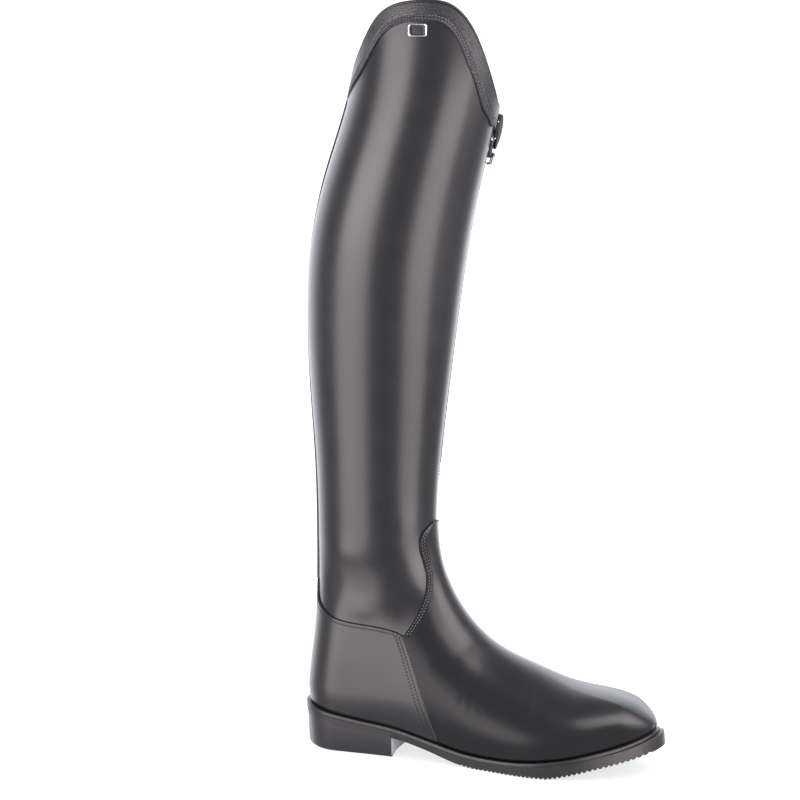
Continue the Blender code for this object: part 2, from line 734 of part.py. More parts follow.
def build_midsole(parts):
    sections = []
    for x in end_stations(SOLE_BACK, SOLE_TIP - 3.0, 9.0):
        top = float(SOLE_TOP_AT(x))
        levels = [(top, -0.8), (top - 0.7, -0.1), (top - MIDSOLE, 0.0)]
        sections.append(plate_section(x, levels, SOLE_BACK, SOLE_TIP - 3.0))
    mesh = solid_loft("midsole", sections)
    add_object("midsole", mesh, material("midsole_rubber", (0.018, 0.018, 0.019), 0.45), parts)


def tread_stations():
    """Places and depths of the tread: a flat land and a sharp groove in every pitch."""
    stations = []
    for k in range(int((TREAD_END - TREAD_START) / TREAD_PITCH)):
        start = TREAD_START + k * TREAD_PITCH
        groove = start + TREAD_LAND + (TREAD_PITCH - TREAD_LAND) / 2.0
        stations += [(start, 0.0), (start + TREAD_LAND, 0.0), (groove, TREAD_DEPTH)]
    return stations


def build_outsole(parts):
    plain = [(x, 0.0) for x in end_stations(SOLE_BACK, SOLE_TIP, 9.0) if x < TREAD_START - 1.0]
    tread = tread_stations()
    ends = [(x, 0.0) for x in end_stations(SOLE_BACK, SOLE_TIP, 9.0) if x > tread[-1][0] + 0.4]
    sections = []
    for x, depth in plain + tread + ends:
        top = float(SOLE_TOP_AT(x)) - MIDSOLE - GAP
        if x <= BREAST_X + 4.0:
            low = float(SOLE_TOP_AT(x)) - HEEL_SEAT_DEPTH
        else:
            low = underside(x)
        flare = 1.5 * float(ease((x - 200.0) / 50.0))
        levels = [(top, 0.0), (low + depth, flare - 1.0)]
        sections.append(plate_section(x, levels, SOLE_BACK, SOLE_TIP))
    mesh = solid_loft("outsole", sections)
    add_object("outsole", mesh, material("outsole_rubber", (0.02, 0.02, 0.021), 0.55), parts)


def build_heel(parts, cutters):
    """Heel block with a bevelled back edge and a hollow breast."""
    sections = []
    run = [x for x in end_stations(SOLE_BACK + 0.5, SOLE_TIP, 9.0) if x < BREAST_X]
    for x in run + [BREAST_X + 3.0]:
        top = float(SOLE_TOP_AT(x)) - HEEL_SEAT_DEPTH - GAP
        short = max(0.0, 1.0 - (x - SOLE_BACK) / HEEL_BEVEL_LENGTH)
        low = HEEL_BEVEL_HEIGHT * short ** 1.5
        levels = [(top, -0.6), (low + 1.0, -0.9), (low, -1.6)]
        sections.append(plate_section(x, levels, SOLE_BACK + 0.5, SOLE_TIP))
    heel = add_object("heel", solid_loft("heel", sections), material("heel_rubber", (0.02, 0.02, 0.021), 0.5), parts)
    half = 31.0
    radius = (half ** 2 + BREAST_HOLLOW ** 2) / (2.0 * BREAST_HOLLOW)
    centre = BREAST_X - BREAST_HOLLOW + radius
    ring = [(centre + radius * np.cos(a), radius * np.sin(a)) for a in np.radians(np.linspace(150.0, 210.0, 41))]
    ring += [(centre, -radius / 2.0), (centre, radius / 2.0)]
    sections = [[np.array([x, y, z]) for x, y in ring] for z in (-10.0, 40.0)]
    cutter = cutter_object("breast", solid_loft("breast", sections), cutters)
    boolean(heel, cutter, "DIFFERENCE")


def build_insole(parts):
    sections = []
    back, tip = SECTIONS[0][1] + INSOLE_INSET, SECTIONS[0][3] - INSOLE_INSET
    for x in end_stations(back, tip, 9.0):
        base = float(SOLE_TOP_AT(x)) + GAP + 0.1 + WALL + GAP + 0.2
        levels = [(base + INSOLE_THICK, -LIP - INSOLE_INSET), (base, -LIP - INSOLE_INSET)]
        sections.append(plate_section(x, levels, back, tip))
    add_object("insole", solid_loft("insole", sections), material("insole_lining", (0.03, 0.028, 0.026), 0.8), parts)


def main():
    for old in list(bpy.data.objects):
        bpy.data.objects.remove(old)
    parts = bpy.data.collections.new("dress_riding_boot")
    cutters = bpy.data.collections.new("cutters")
    bpy.context.scene.collection.children.link(parts)
    bpy.context.scene.collection.children.link(cutters)
    recess = build_upper(parts, cutters)
    build_vamp(parts, cutters)
    build_counter(parts, cutters)
    build_band(parts, recess)
    build_binding(parts)
    build_back_stay(parts)
    build_zip_chain(parts)
    build_slider(parts, cutters)
    build_pull(parts)
    build_guard_tab(parts)
    build_badge(parts)
    build_midsole(parts)
    build_outsole(parts)
    build_heel(parts, cutters)
    build_insole(parts)


main()
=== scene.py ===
"""Dress riding boot, right foot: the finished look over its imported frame.

Lengths are millimetres in the maker's frame: x runs from the back of the sole to the toe, y from the
outer side (negative) to the inner side, z up from the floor. ``world`` turns them into metres.
A place on the leather is a row, counted in side view sections from the sole up to the rim, and a turn
in degrees, from the back line (0) over the outer side (90) to the front (180) and back over the inner.
"""

from __future__ import annotations

import json
import logging
import math
from dataclasses import dataclass
from enum import Enum
from functools import partial
from typing import Any, Callable, Sequence

import bpy
import numpy as np
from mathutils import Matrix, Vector

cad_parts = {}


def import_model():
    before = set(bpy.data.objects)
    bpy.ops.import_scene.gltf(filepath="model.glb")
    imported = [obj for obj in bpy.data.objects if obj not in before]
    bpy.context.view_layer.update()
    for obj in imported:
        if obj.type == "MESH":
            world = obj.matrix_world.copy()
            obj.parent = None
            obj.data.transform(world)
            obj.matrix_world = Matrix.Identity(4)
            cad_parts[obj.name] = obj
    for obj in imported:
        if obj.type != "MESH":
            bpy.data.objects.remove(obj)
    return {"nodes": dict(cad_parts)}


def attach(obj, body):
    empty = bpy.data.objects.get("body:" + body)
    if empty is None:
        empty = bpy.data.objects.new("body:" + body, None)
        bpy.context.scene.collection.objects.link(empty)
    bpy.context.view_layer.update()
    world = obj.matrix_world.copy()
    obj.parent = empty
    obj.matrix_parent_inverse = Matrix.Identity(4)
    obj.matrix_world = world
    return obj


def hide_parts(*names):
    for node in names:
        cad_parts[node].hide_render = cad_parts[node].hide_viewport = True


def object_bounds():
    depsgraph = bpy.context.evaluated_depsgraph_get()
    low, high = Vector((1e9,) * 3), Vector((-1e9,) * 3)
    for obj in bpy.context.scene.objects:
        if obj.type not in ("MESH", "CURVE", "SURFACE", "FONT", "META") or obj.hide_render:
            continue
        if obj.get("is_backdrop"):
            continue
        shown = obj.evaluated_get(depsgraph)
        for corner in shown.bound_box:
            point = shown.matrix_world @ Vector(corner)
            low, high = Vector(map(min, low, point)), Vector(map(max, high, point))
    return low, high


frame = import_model()

LOG = logging.getLogger("riding_boot")
MM = 0.001
MIDDLE = (132.72, 0.02, 0.0)
BODY = "boot"
PULL_BODY = "pull"

Array = np.ndarray
Table = Sequence[Sequence[Any]]
Pair = tuple[Array, Array]
Piece = bpy.types.Object
Mesh = bpy.types.Mesh
Material = bpy.types.Material


class Side(Enum):
    """The two sides of the boot, as the sign of y."""

    OUTER = -1
    INNER = 1


def world(points: Array) -> Array:
    """Maker's millimetres to the scene's metres, about the frame's origin."""
    return (np.asarray(points, float) - np.array(MIDDLE)) * MM


def ease(value: Array) -> Array:
    """Smooth step from 0 to 1."""
    value = np.clip(value, 0.0, 1.0)
    return value**3 * (value * (6.0 * value - 15.0) + 10.0)


def round_end(value: Array) -> Array:
    """Quarter circle from 0 at an end to 1 at one rounding length from it."""
    return np.sqrt(np.maximum(0.0, 1.0 - (1.0 - np.clip(value, 0.0, 1.0)) ** 2))


def unit(vectors: Array) -> Array:
    """Vectors of length 1 along the last axis."""
    return vectors / np.maximum(np.linalg.norm(vectors, axis=-1, keepdims=True), 1e-12)


def bell(distance: Array, width: float) -> Array:
    """Smooth hump of height 1 and the given half width."""
    return np.exp(-((distance / width) ** 2))


def run_length(points: Array) -> Array:
    """Length along a line up to each of its points."""
    return np.concatenate([[0.0], np.cumsum(np.linalg.norm(np.diff(points, axis=0), axis=1))])


def beside(places: Array) -> Array:
    """The way from the place before each to the place after it, round a closed line."""
    return np.roll(places, -1, axis=0) - np.roll(places, 1, axis=0)


class Spline:
    """Natural cubic spline through the rows of a table."""

    def __init__(self, places: Array, values: Array) -> None:
        """Solves the spline.

        Args:
            places: Rising places along the table.
            values: The value at each place.
        """
        self.t = np.asarray(places, float)
        self.v = np.asarray(values, float)
        step = np.diff(self.t)
        slope = np.diff(self.v) / step
        count = len(self.t)
        matrix = np.eye(count)
        right = np.zeros(count)
        for i in range(1, count - 1):
            matrix[i, i - 1 : i + 2] = step[i - 1], 2.0 * (step[i - 1] + step[i]), step[i]
            right[i] = 6.0 * (slope[i] - slope[i - 1])
        self.m = np.linalg.solve(matrix, right)

    def __call__(self, place: Array) -> Array:
        """Value at a place, held at the table's ends."""
        place = np.clip(place, self.t[0], self.t[-1])
        i = np.clip(np.searchsorted(self.t, place, side="right") - 1, 0, len(self.t) - 2)
        step = self.t[i + 1] - self.t[i]
        a = (self.t[i + 1] - place) / step
        b = (place - self.t[i]) / step
        bend = (a**3 - a) * self.m[i] + (b**3 - b) * self.m[i + 1]
        return a * self.v[i] + b * self.v[i + 1] + bend * step * step / 6.0


def columns(table: Table) -> list[Spline]:
    """Splines over a table's first column, one for each further column."""
    rows = np.array(table, float)
    return [Spline(rows[:, 0], column) for column in rows.T[1:]]


def smooth_line(points: Table, count: int) -> Array:
    """A smooth line through points of the side view.

    Args:
        points: x and z of the points.
        count: How many places to return.

    Returns:
        Places along the line, evenly spaced, as rows of x and z.
    """
    knots = np.array(points, float)
    length = run_length(knots)
    place = np.linspace(0.0, length[-1], count)
    return np.stack([Spline(length, knots[:, k])(place) for k in (0, 1)], axis=1)


@dataclass(frozen=True)
class Fold:
    """One soft hollow or ridge of the leather, drawn in the side view."""

    x: float
    z: float
    lean: float
    length: float
    width: float
    rise: float
    side: Side = Side.OUTER


@dataclass
class Last:
    """The boot's form: the surface that every leather piece is cut from."""

    # name, back x, back z, front x, front z
    sections: Table = (
        ("feather", 4.6, 34.3, 258.0, 30.4),
        ("toe tip", 4.4, 37.2, 256.9, 34.2),
        ("toe cap", 4.2, 40.5, 253.3, 38.8),
        ("toe top", 4.2, 44.5, 242.9, 47.5),
        ("toe ridge", 4.6, 49.0, 224.8, 53.0),
        ("ball", 5.2, 55.0, 198.2, 57.0),
        ("vamp", 6.0, 62.0, 168.9, 67.4),
        ("low instep", 7.0, 70.0, 143.1, 78.7),
        ("instep", 8.4, 81.0, 122.9, 95.7),
        ("high instep", 9.8, 97.0, 108.4, 117.2),
        ("throat", 10.6, 125.0, 98.4, 147.8),
        ("ankle", 10.6, 165.0, 97.2, 181.0),
        ("low shin", 9.4, 208.0, 99.8, 216.0),
        ("shin", 6.2, 255.0, 104.8, 260.0),
        ("calf", 4.2, 315.0, 112.0, 318.0),
        ("high calf", 7.0, 362.0, 119.0, 366.0),
        ("below knee", 17.0, 408.0, 128.0, 411.0),
        ("collar base", 32.6, 456.0, 139.2, 458.0),
        ("collar", 39.4, 484.0, 144.6, 486.0),
        ("collar tip", 43.0, 540.0, 150.0, 540.0),
    )
    # Rows above this one lean up to the rim.
    level_rows: int = 16
    # Top edge of the sole: x, z.
    sole_top: Table = (
        (0, 31.5), (13, 29.9), (36, 26.6), (55, 24.0), (75, 21.6), (95, 17.5), (114, 13.4), (128, 10.7),
        (142, 9.3), (158, 9.2), (174, 10.0), (190, 11.7), (207, 14.3), (226, 18.2), (245, 22.8), (265, 29.6),
    )
    # x, swing of the middle line, half widths of the feather line and of the widest level on the outer
    # and inner side, height of that level above the sole
    foot: Table = (
        (0, 0.0, 28.5, 28.5, 30.0, 30.0, 16),
        (31, 0.0, 28.8, 28.2, 30.3, 29.8, 18),
        (60, 0.0, 28.6, 26.8, 31.0, 30.0, 22),
        (90, 0.2, 29.8, 23.5, 33.0, 31.5, 26),
        (120, 0.8, 34.2, 24.5, 37.2, 34.0, 24),
        (150, 1.8, 39.6, 33.5, 42.3, 38.0, 17),
        (175, 2.6, 44.6, 38.6, 46.0, 40.6, 13),
        (200, 4.0, 45.0, 38.0, 46.2, 39.6, 12),
        (220, 5.8, 41.0, 35.0, 42.2, 36.6, 12),
        (240, 7.4, 36.5, 33.5, 38.0, 35.0, 12),
        (262, 8.8, 35.0, 34.0, 36.5, 35.5, 12),
    )
    # z, half width of either side
    shaft: Table = (
        (40, 29.0), (80, 28.5), (120, 31.0), (170, 34.5), (220, 38.5), (270, 44.0), (320, 50.0), (360, 53.0),
        (400, 53.0), (458, 51.0), (540, 47.0),
    )
    # turn from the back, height of the rim
    rim_outer: Table = (
        (0, 474), (20, 485), (40, 502), (60, 524), (80, 534.6), (100, 537), (118, 534.5), (135, 520.5),
        (150, 499.5), (165, 480), (180, 466),
    )
    rim_inner: Table = ((0, 474), (20, 465.5), (50, 457), (90, 452), (130, 452), (160, 458.5), (180, 466))
    folds: tuple[Fold, ...] = (
        Fold(87.0, 112.0, 60.0, 15.0, 12.0, -1.6),
        Fold(53.0, 107.0, 5.0, 14.0, 8.0, 1.0),
        Fold(30.0, 119.0, 40.0, 11.0, 8.0, -1.0),
        Fold(40.0, 148.0, -10.0, 16.0, 9.0, 0.8),
        Fold(72.0, 141.0, 15.0, 16.0, 9.0, -0.6),
        Fold(84.0, 168.0, 70.0, 12.0, 8.0, 0.6),
        Fold(131.0, 50.0, 78.0, 13.0, 2.3, -0.36),
        Fold(137.5, 47.0, 84.0, 15.0, 2.6, -0.42),
        Fold(144.5, 45.0, 95.0, 12.0, 2.3, -0.3),
        Fold(176.0, 46.0, 100.0, 10.0, 2.6, -0.2),
        Fold(185.0, 43.0, 106.0, 12.0, 2.8, -0.26),
        Fold(120.0, 78.0, 50.0, 14.0, 7.0, -0.7),
        Fold(90.0, 110.0, 70.0, 16.0, 12.0, -0.7, Side.INNER),
        Fold(50.0, 112.0, 10.0, 15.0, 9.0, 0.6, Side.INNER),
        Fold(140.0, 48.0, 95.0, 14.0, 3.0, -0.28, Side.INNER),
    )
    fold_fade: float = 24.0
    tuck: float = 3.5
    tucked_gap: float = 0.4
    toe_round: float = 52.0
    heel_round: float = 30.0
    widest_share: float = 0.45
    ridge_back: float = 106.0
    ridge_step: float = 2.0
    bent_rows: float = 6.0
    blend_low: float = 60.0
    blend_high: float = 165.0
    # How far beside a place its directions are taken: rows, degrees, and on the shaft degrees and height.
    near_row: float = 0.03
    near_turn: float = 0.6
    wall_turn: float = 1.0
    wall_rise: float = 2.0

    def __post_init__(self) -> None:
        """Solves the splines of every table."""
        self.sole_top_at, = columns(self.sole_top)
        (self.swing, self.feather_outer, self.feather_inner, self.wide_outer, self.wide_inner,
         self.wide_rise) = columns(self.foot)
        self.girth, = columns(self.shaft)
        self.rim_outer_at, = columns(self.rim_outer)
        self.rim_inner_at, = columns(self.rim_inner)
        self.back = self._side_line(1)
        self.front = self._side_line(3)
        xs, zs = self.front[3:]
        foremost = int(np.argmax(xs))
        throat = foremost + int(np.argmin(xs[foremost:]))
        self.tip_x = xs[foremost]
        self.top_xs = xs[foremost : throat + 1][::-1]
        self.top_zs = zs[foremost : throat + 1][::-1]
        ridge = (self.ridge_back, self.ridge_back + self.ridge_step)
        self.ridge_z, ahead = np.interp(ridge, self.top_xs, self.top_zs)
        self.ridge_slope = (self.ridge_z - ahead) / self.ridge_step
        self.top_row = float(len(self.sections) - 1)

    def _side_line(self, column: int) -> tuple:
        """Splines and dense samples of the back or front line of the side view.

        Args:
            column: Column of the sections that holds the line's x, with its z in the next.

        Returns:
            Length by section, x by length, z by length, dense x and dense z.
        """
        points = np.array([row[column : column + 2] for row in self.sections], float)
        length = run_length(points)
        x_curve, z_curve = (Spline(length, points[:, k]) for k in (0, 1))
        dense = np.linspace(0.0, length[-1], 8001)
        return Spline(np.arange(len(points)), length), x_curve, z_curve, x_curve(dense), z_curve(dense)

    def back_at(self, z: Array) -> Array:
        """x of the back line at a height."""
        return np.interp(z, self.back[4], self.back[3])

    def front_at(self, z: Array) -> Array:
        """x of the front line at a height."""
        return np.interp(z, self.front[4], self.front[3])

    def top_at(self, x: Array) -> Array:
        """Height of the ridge of the foot over x, led straight on up behind the instep."""
        behind = self.ridge_z + (self.ridge_back - x) * self.ridge_slope
        return np.where(x < self.ridge_back, behind, np.interp(x, self.top_xs, self.top_zs))

    def shaft_share(self, z: Array) -> Array:
        """How much of the section at a height is the shaft's, not the foot's."""
        return ease((z - self.blend_low) / (self.blend_high - self.blend_low))

    def half_width(self, x: Array, z: Array, inner: Array) -> Array:
        """Distance from the middle line to the leather at a point of the side view.

        Args:
            x: Places along the boot.
            z: Heights.
            inner: True where the inner side is meant.

        Returns:
            The half widths.
        """
        feather = np.where(inner, self.feather_inner(x), self.feather_outer(x))
        wide = np.where(inner, self.wide_inner(x), self.wide_outer(x))
        low, top = self.sole_top_at(x), self.top_at(x)
        level = low + np.minimum(self.wide_rise(x), self.widest_share * (top - low))
        climb = np.clip((z - low) / (level - low), 0.0, 1.0)
        plan = feather + (wide - feather) * np.sin(climb * np.pi / 2.0)
        back, front = self.back_at(z), self.front_at(z)
        ends = round_end((x - back) / self.heel_round) * round_end((self.tip_x - x) / self.toe_round)
        over = np.clip((z - level) / np.maximum(top - level, 0.001), 0.0, 1.0)
        foot = plan * ends * np.sqrt(1.0 - over**2)
        half = (front - back) / 2.0
        shaft = self.girth(z) * round_end((x - back) / half) * round_end((front - x) / half)
        share = self.shaft_share(z)
        return foot * (1.0 - share) + shaft * share

    def _sides(self, x: Array, z: Array, inner: Array) -> Array:
        """Places of the surface over points of the side view, on the inner side where inner is true."""
        half = self.half_width(x, z, inner)
        middle = self.swing(x) * (1.0 - self.shaft_share(z))
        return np.stack([x, middle + np.where(inner, half, -half), z], axis=-1)

    @staticmethod
    def _halves(turn: Array) -> tuple[Array, Array, Array]:
        """Whether turns are inner, their turns from 0 to 180, and their shares of the way to the front."""
        inner = turn > 180.0
        folded = np.where(inner, 360.0 - turn, turn)
        return inner, folded, (1.0 - np.cos(np.radians(folded))) / 2.0

    def _level(self, row: Array, share: Array) -> tuple[Array, Array]:
        """x and z on a level row, which bends down to the sole in its lowest part.

        Args:
            row: Rows.
            share: Shares of the way from the back line to the front line.

        Returns:
            The x and the z of each.
        """
        at_back, at_front = self.back[0](row), self.front[0](row)
        x, z = (self.back[k](at_back) * (1.0 - share) + self.front[k](at_front) * share for k in (1, 2))
        straight = self.sections[0][2] * (1.0 - share) + self.sections[0][4] * share
        return x, z + (1.0 - ease(row / self.bent_rows)) * (self.sole_top_at(x) + self.tuck - straight)

    def chord(self, row: Array, x: Array) -> tuple[Array, Array]:
        """Where a level row of the side view passes a given x.

        Args:
            row: Rows.
            x: Places along the boot.

        Returns:
            The share of the way from the back line to the front line, and the height there.
        """
        back_x, front_x = self.back[1](self.back[0](row)), self.front[1](self.front[0](row))
        share = np.clip((x - back_x) / (front_x - back_x), 0.0, 1.0)
        return share, self._level(row, share)[1]

    def point(self, row: Array, turn: Array) -> Array:
        """Places on the bare surface.

        Args:
            row: Rows, from 0 at the sole to the rim.
            turn: Degrees round from the back line.

        Returns:
            The places, with x, y and z last.
        """
        row, turn = np.broadcast_arrays(np.asarray(row, float), np.asarray(turn, float) % 360.0)
        inner, folded, share = self._halves(turn)
        x, z = self._level(np.minimum(row, float(self.level_rows)), share)
        rise = np.clip((row - self.level_rows) / (self.top_row - self.level_rows), 0.0, 1.0)
        top = np.where(inner, self.rim_inner_at(folded), self.rim_outer_at(folded))
        z = z + (top - z) * rise
        x = np.where(rise > 0.0, self.back_at(z) * (1.0 - share) + self.front_at(z) * share, x)
        return self._sides(x, z, inner)

    def _along(self, row: Array, turn: Array) -> Array:
        """The way round the surface at places."""
        return self.point(row, turn + self.near_turn) - self.point(row, turn - self.near_turn)

    def normal(self, row: Array, turn: Array) -> Array:
        """Directions out of the bare surface."""
        above, under = np.minimum(row + self.near_row, self.top_row), np.maximum(row - self.near_row, 0.0)
        return unit(np.cross(self._along(row, turn), self.point(above, turn) - self.point(under, turn)))

    def skin(self, row: Array, turn: Array, lift: Array = 0.0) -> Array:
        """Places on the leather with its folds.

        Args:
            row: Rows.
            turn: Degrees round from the back line.
            lift: Height over the surface, in millimetres.

        Returns:
            The places.
        """
        base = self.point(row, turn)
        return base + self.normal(row, turn) * (lift + self.relief(base))[..., None]

    def relief(self, base: Array) -> Array:
        """Height of the folds at places on the bare surface."""
        height = np.zeros(base.shape[:-1])
        for fold in self.folds:
            lean = math.radians(fold.lean)
            dx, dz = base[..., 0] - fold.x, base[..., 2] - fold.z
            along = dx * math.cos(lean) + dz * math.sin(lean)
            across = dz * math.cos(lean) - dx * math.sin(lean)
            facing = ease(0.5 + fold.side.value * base[..., 1] / self.fold_fade)
            height += fold.rise * bell(along, fold.length) * bell(across, fold.width) * facing
        return height

    def under(self, turn: Array, angle: float, reach: float, lift: float) -> Array:
        """Places where the leather turns under, onto the sole.

        Args:
            turn: Degrees round from the back line.
            angle: Degrees of the turn under, from 0 upright to 90 flat.
            reach: Further way inward from there, in millimetres.
            lift: Height over the surface.

        Returns:
            The places.
        """
        along = self._along(np.zeros_like(turn), turn)
        inward = unit(np.stack([-along[..., 1], along[..., 0], np.zeros_like(turn)], axis=-1))
        bend = math.radians(angle)
        place = self.point(np.zeros_like(turn), turn)
        place = place + inward * (self.tuck - (self.tuck + lift) * math.cos(bend) + reach)
        sunk = (self.tuck - self.tucked_gap + lift) * math.sin(bend)
        place[..., 2] = self.sole_top_at(place[..., 0]) + self.tuck - sunk
        return place

    def rim(self, turn: float) -> float:
        """Height of the rim at one turn."""
        turn = turn % 360.0
        return float(self.rim_inner_at(360.0 - turn) if turn > 180.0 else self.rim_outer_at(turn))

    def wall(self, turn: Array, z: Array) -> Array:
        """Places on the shaft at given heights, by the turn from the back line."""
        turn, z = np.broadcast_arrays(np.asarray(turn, float) % 360.0, np.asarray(z, float))
        inner, _, share = self._halves(turn)
        return self._sides(self.back_at(z) * (1.0 - share) + self.front_at(z) * share, z, inner)

    def wall_frame(self, turn: float, z: Array) -> tuple[Array, Array, Array, Array]:
        """Places up the shaft with the directions beside them.

        Args:
            turn: Degrees round from the back line.
            z: Heights.

        Returns:
            Places, and the directions level across, out of the wall and up along it.
        """
        here = self.wall(turn, z)
        across = self.wall(turn - self.wall_turn, z) - self.wall(turn + self.wall_turn, z)
        across[..., 2] = 0.0
        across = unit(across)
        up = unit(self.wall(turn, z + self.wall_rise) - self.wall(turn, z - self.wall_rise))
        out = unit(np.cross(up, across))
        return here, across, np.where(out[..., 1:2] * here[..., 1:2] < 0.0, -out, out), up

    def locate(self, line: Array) -> tuple[Array, Array]:
        """Rows and turns (0 to 180) of points of the side view, given as rows of x and z."""
        x, z = line.T
        low = np.zeros(len(x))
        high = np.full(len(x), float(self.level_rows))
        for _ in range(44):
            mid = (low + high) / 2.0
            below = self.chord(mid, x)[1] < z
            low, high = np.where(below, mid, low), np.where(below, high, mid)
        return low, np.degrees(np.arccos(1.0 - 2.0 * self.chord(low, x)[0]))


# Materials


def linear(hex_colour: str) -> tuple[float, float, float, float]:
    """Turns an sRGB hex colour into linear red, green, blue and alpha."""
    parts = [int(hex_colour[k : k + 2], 16) / 255.0 for k in (1, 3, 5)]
    red, green, blue = (p / 12.92 if p <= 0.04045 else ((p + 0.055) / 1.055) ** 2.4 for p in parts)
    return red, green, blue, 1.0


def connect(node: bpy.types.Node, **inputs: Any) -> None:
    """Sets or links a node's inputs.

    Args:
        node: The node.
        **inputs: A value or a socket to link from for each socket, which is named with _ for a space,
            or by in and its number.
    """
    for name, value in inputs.items():
        plain = name.replace("_", " ")
        key = int(plain[2:]) if plain.startswith("in") and plain[2:].isdigit() else plain
        if isinstance(value, bpy.types.NodeSocket):
            node.id_data.links.new(value, node.inputs[key])
        else:
            node.inputs[key].default_value = value


def add_node(tree: bpy.types.NodeTree, kind: str, settings: dict[str, Any] | None = None,
             **inputs: Any) -> bpy.types.Node:
    """Adds a node with its settings and links.

    Args:
        tree: The tree that the node goes in.
        kind: Blender's name of the node type.
        settings: Properties of the node itself.
        **inputs: Its inputs, as connect takes them.

    Returns:
        The new node.
    """
    made = tree.nodes.new(kind)
    for name, value in (settings or {}).items():
        setattr(made, name, value)
    connect(made, **inputs)
    return made


def grade(ramp: bpy.types.Node, *stops: tuple[float, str]) -> None:
    """Sets a colour ramp's stops, each a position and an sRGB hex colour."""
    for element, (position, colour) in zip(ramp.color_ramp.elements, stops):
        element.position = position
        element.color = linear(colour)


@dataclass(frozen=True)
class Finish:
    """What every finish has: a name, a colour and how rough it is."""

    name: str
    colour: str
    roughness: float
    metallic: float = 0.0

    def start(self) -> tuple[Callable, bpy.types.Node, bpy.types.NodeSocket, Material]:
        """Makes the material with its plain shader.

        Returns:
            What adds a node to it, the shader, the object coordinates and the material.
        """
        made = bpy.data.materials.new(self.name)
        made.use_nodes = True
        shader = made.node_tree.nodes["Principled BSDF"]
        connect(shader, Base_Color=linear(self.colour), Roughness=self.roughness, Metallic=self.metallic)
        add = partial(add_node, made.node_tree)
        return add, shader, add("ShaderNodeTexCoord").outputs["Object"], made


@dataclass(frozen=True)
class BoxCalf(Finish):
    """Box calf: smooth chrome-tanned calf with a polished, pigmented top coat.

    It gives a deep black with broad soft highlights, broken up by a very fine grain and a little haze.
    """

    worn: str = "#151416"
    grain_mm: float = 0.6
    grain_depth: float = 0.16
    grain_relief: float = 0.12
    haze_mm: float = 14.0
    swing: float = 0.025
    wave_mm: float = 30.0
    wave_depth: float = 0.05

    def build(self) -> Material:
        """Makes the material."""
        add, shader, place, made = self.start()
        haze = add("ShaderNodeTexNoise", Vector=place, Scale=1.0 / (self.haze_mm * MM), Detail=1.5,
                   Roughness=0.4)
        rough = add("ShaderNodeMapRange", Value=haze.outputs["Fac"], From_Min=0.1, From_Max=0.9,
                    To_Min=self.roughness - self.swing, To_Max=self.roughness + self.swing)
        tint = add("ShaderNodeValToRGB", Fac=haze.outputs["Fac"])
        grade(tint, (0.1, self.colour), (0.9, self.worn))
        wave = add("ShaderNodeTexNoise", Vector=place, Scale=1.0 / (self.wave_mm * MM), Detail=2.0)
        swell = add("ShaderNodeBump", Height=wave.outputs["Fac"], Distance=self.wave_depth * MM, Strength=1.0)
        grain = add("ShaderNodeTexVoronoi", {"feature": "SMOOTH_F1"}, Vector=place,
                    Scale=1.0 / (self.grain_mm * MM))
        fine = add("ShaderNodeBump", Height=grain.outputs["Distance"], Normal=swell.outputs["Normal"],
                   Distance=self.grain_mm * MM * self.grain_relief, Strength=self.grain_depth)
        connect(shader, Base_Color=tint.outputs["Color"], Roughness=rough.outputs["Result"],
                Normal=fine.outputs["Normal"])
        return made


@dataclass(frozen=True)
class PrintedGrain(Finish):
    """Calf with a printed pebble grain and a metallic dusting: lighter specks at random, partly the dusting's
    colour and partly painted glints.
    """

    dust_and_glint: str = "#48484d"
    pebble_mm: float = 0.8
    depth: float = 0.6

    def build(self) -> Material:
        """Makes the material."""
        add, shader, place, made = self.start()
        size = self.pebble_mm * MM
        scale = 1.0 / size
        bent = add("ShaderNodeTexNoise", Vector=place, Scale=scale * 0.6, Detail=2.0)
        shifted = add("ShaderNodeVectorMath", {"operation": "SCALE"}, in0=bent.outputs["Color"],
                      Scale=size * 0.7)
        moved = add("ShaderNodeVectorMath", {"operation": "ADD"}, in0=place, in1=shifted.outputs["Vector"])
        pebble = add("ShaderNodeTexVoronoi", {"feature": "SMOOTH_F1"}, Vector=moved.outputs["Vector"],
                     Scale=scale)
        # Random lighter specks: the dusting's own colour and painted glints in one.
        speck = add("ShaderNodeTexVoronoi", Vector=place, Scale=scale * 2.2)
        chosen = add("ShaderNodeValToRGB", Fac=speck.outputs["Color"])
        grade(chosen, (0.62, self.colour), (0.9, self.dust_and_glint))
        low = add("ShaderNodeMapRange", Value=pebble.outputs["Distance"], From_Min=0.0, From_Max=0.7,
                  To_Min=1.0, To_Max=0.0)
        bump = add("ShaderNodeBump", Height=low.outputs["Result"], Distance=size * 0.35, Strength=self.depth)
        connect(shader, Base_Color=chosen.outputs["Color"], Normal=bump.outputs["Normal"])
        return made


@dataclass(frozen=True)
class MouldedRubber(Finish):
    """Vulcanised rubber straight from its mould: dark grey, satin, with a fine even bloom."""

    bloom_mm: float = 5.0
    grit_mm: float = 0.35

    def build(self) -> Material:
        """Makes the material."""
        add, shader, place, made = self.start()
        bloom = add("ShaderNodeTexNoise", Vector=place, Scale=1.0 / (self.bloom_mm * MM), Detail=5.0,
                    Roughness=0.65)
        rough = add("ShaderNodeMapRange", Value=bloom.outputs["Fac"], From_Min=0.3, From_Max=0.7,
                    To_Min=self.roughness - 0.06, To_Max=self.roughness + 0.08)
        grit = add("ShaderNodeTexNoise", Vector=place, Scale=1.0 / (self.grit_mm * MM), Detail=1.0)
        bump = add("ShaderNodeBump", Height=grit.outputs["Fac"], Distance=self.grit_mm * MM * 0.2,
                   Strength=0.25)
        connect(shader, Roughness=rough.outputs["Result"], Normal=bump.outputs["Normal"])
        return made


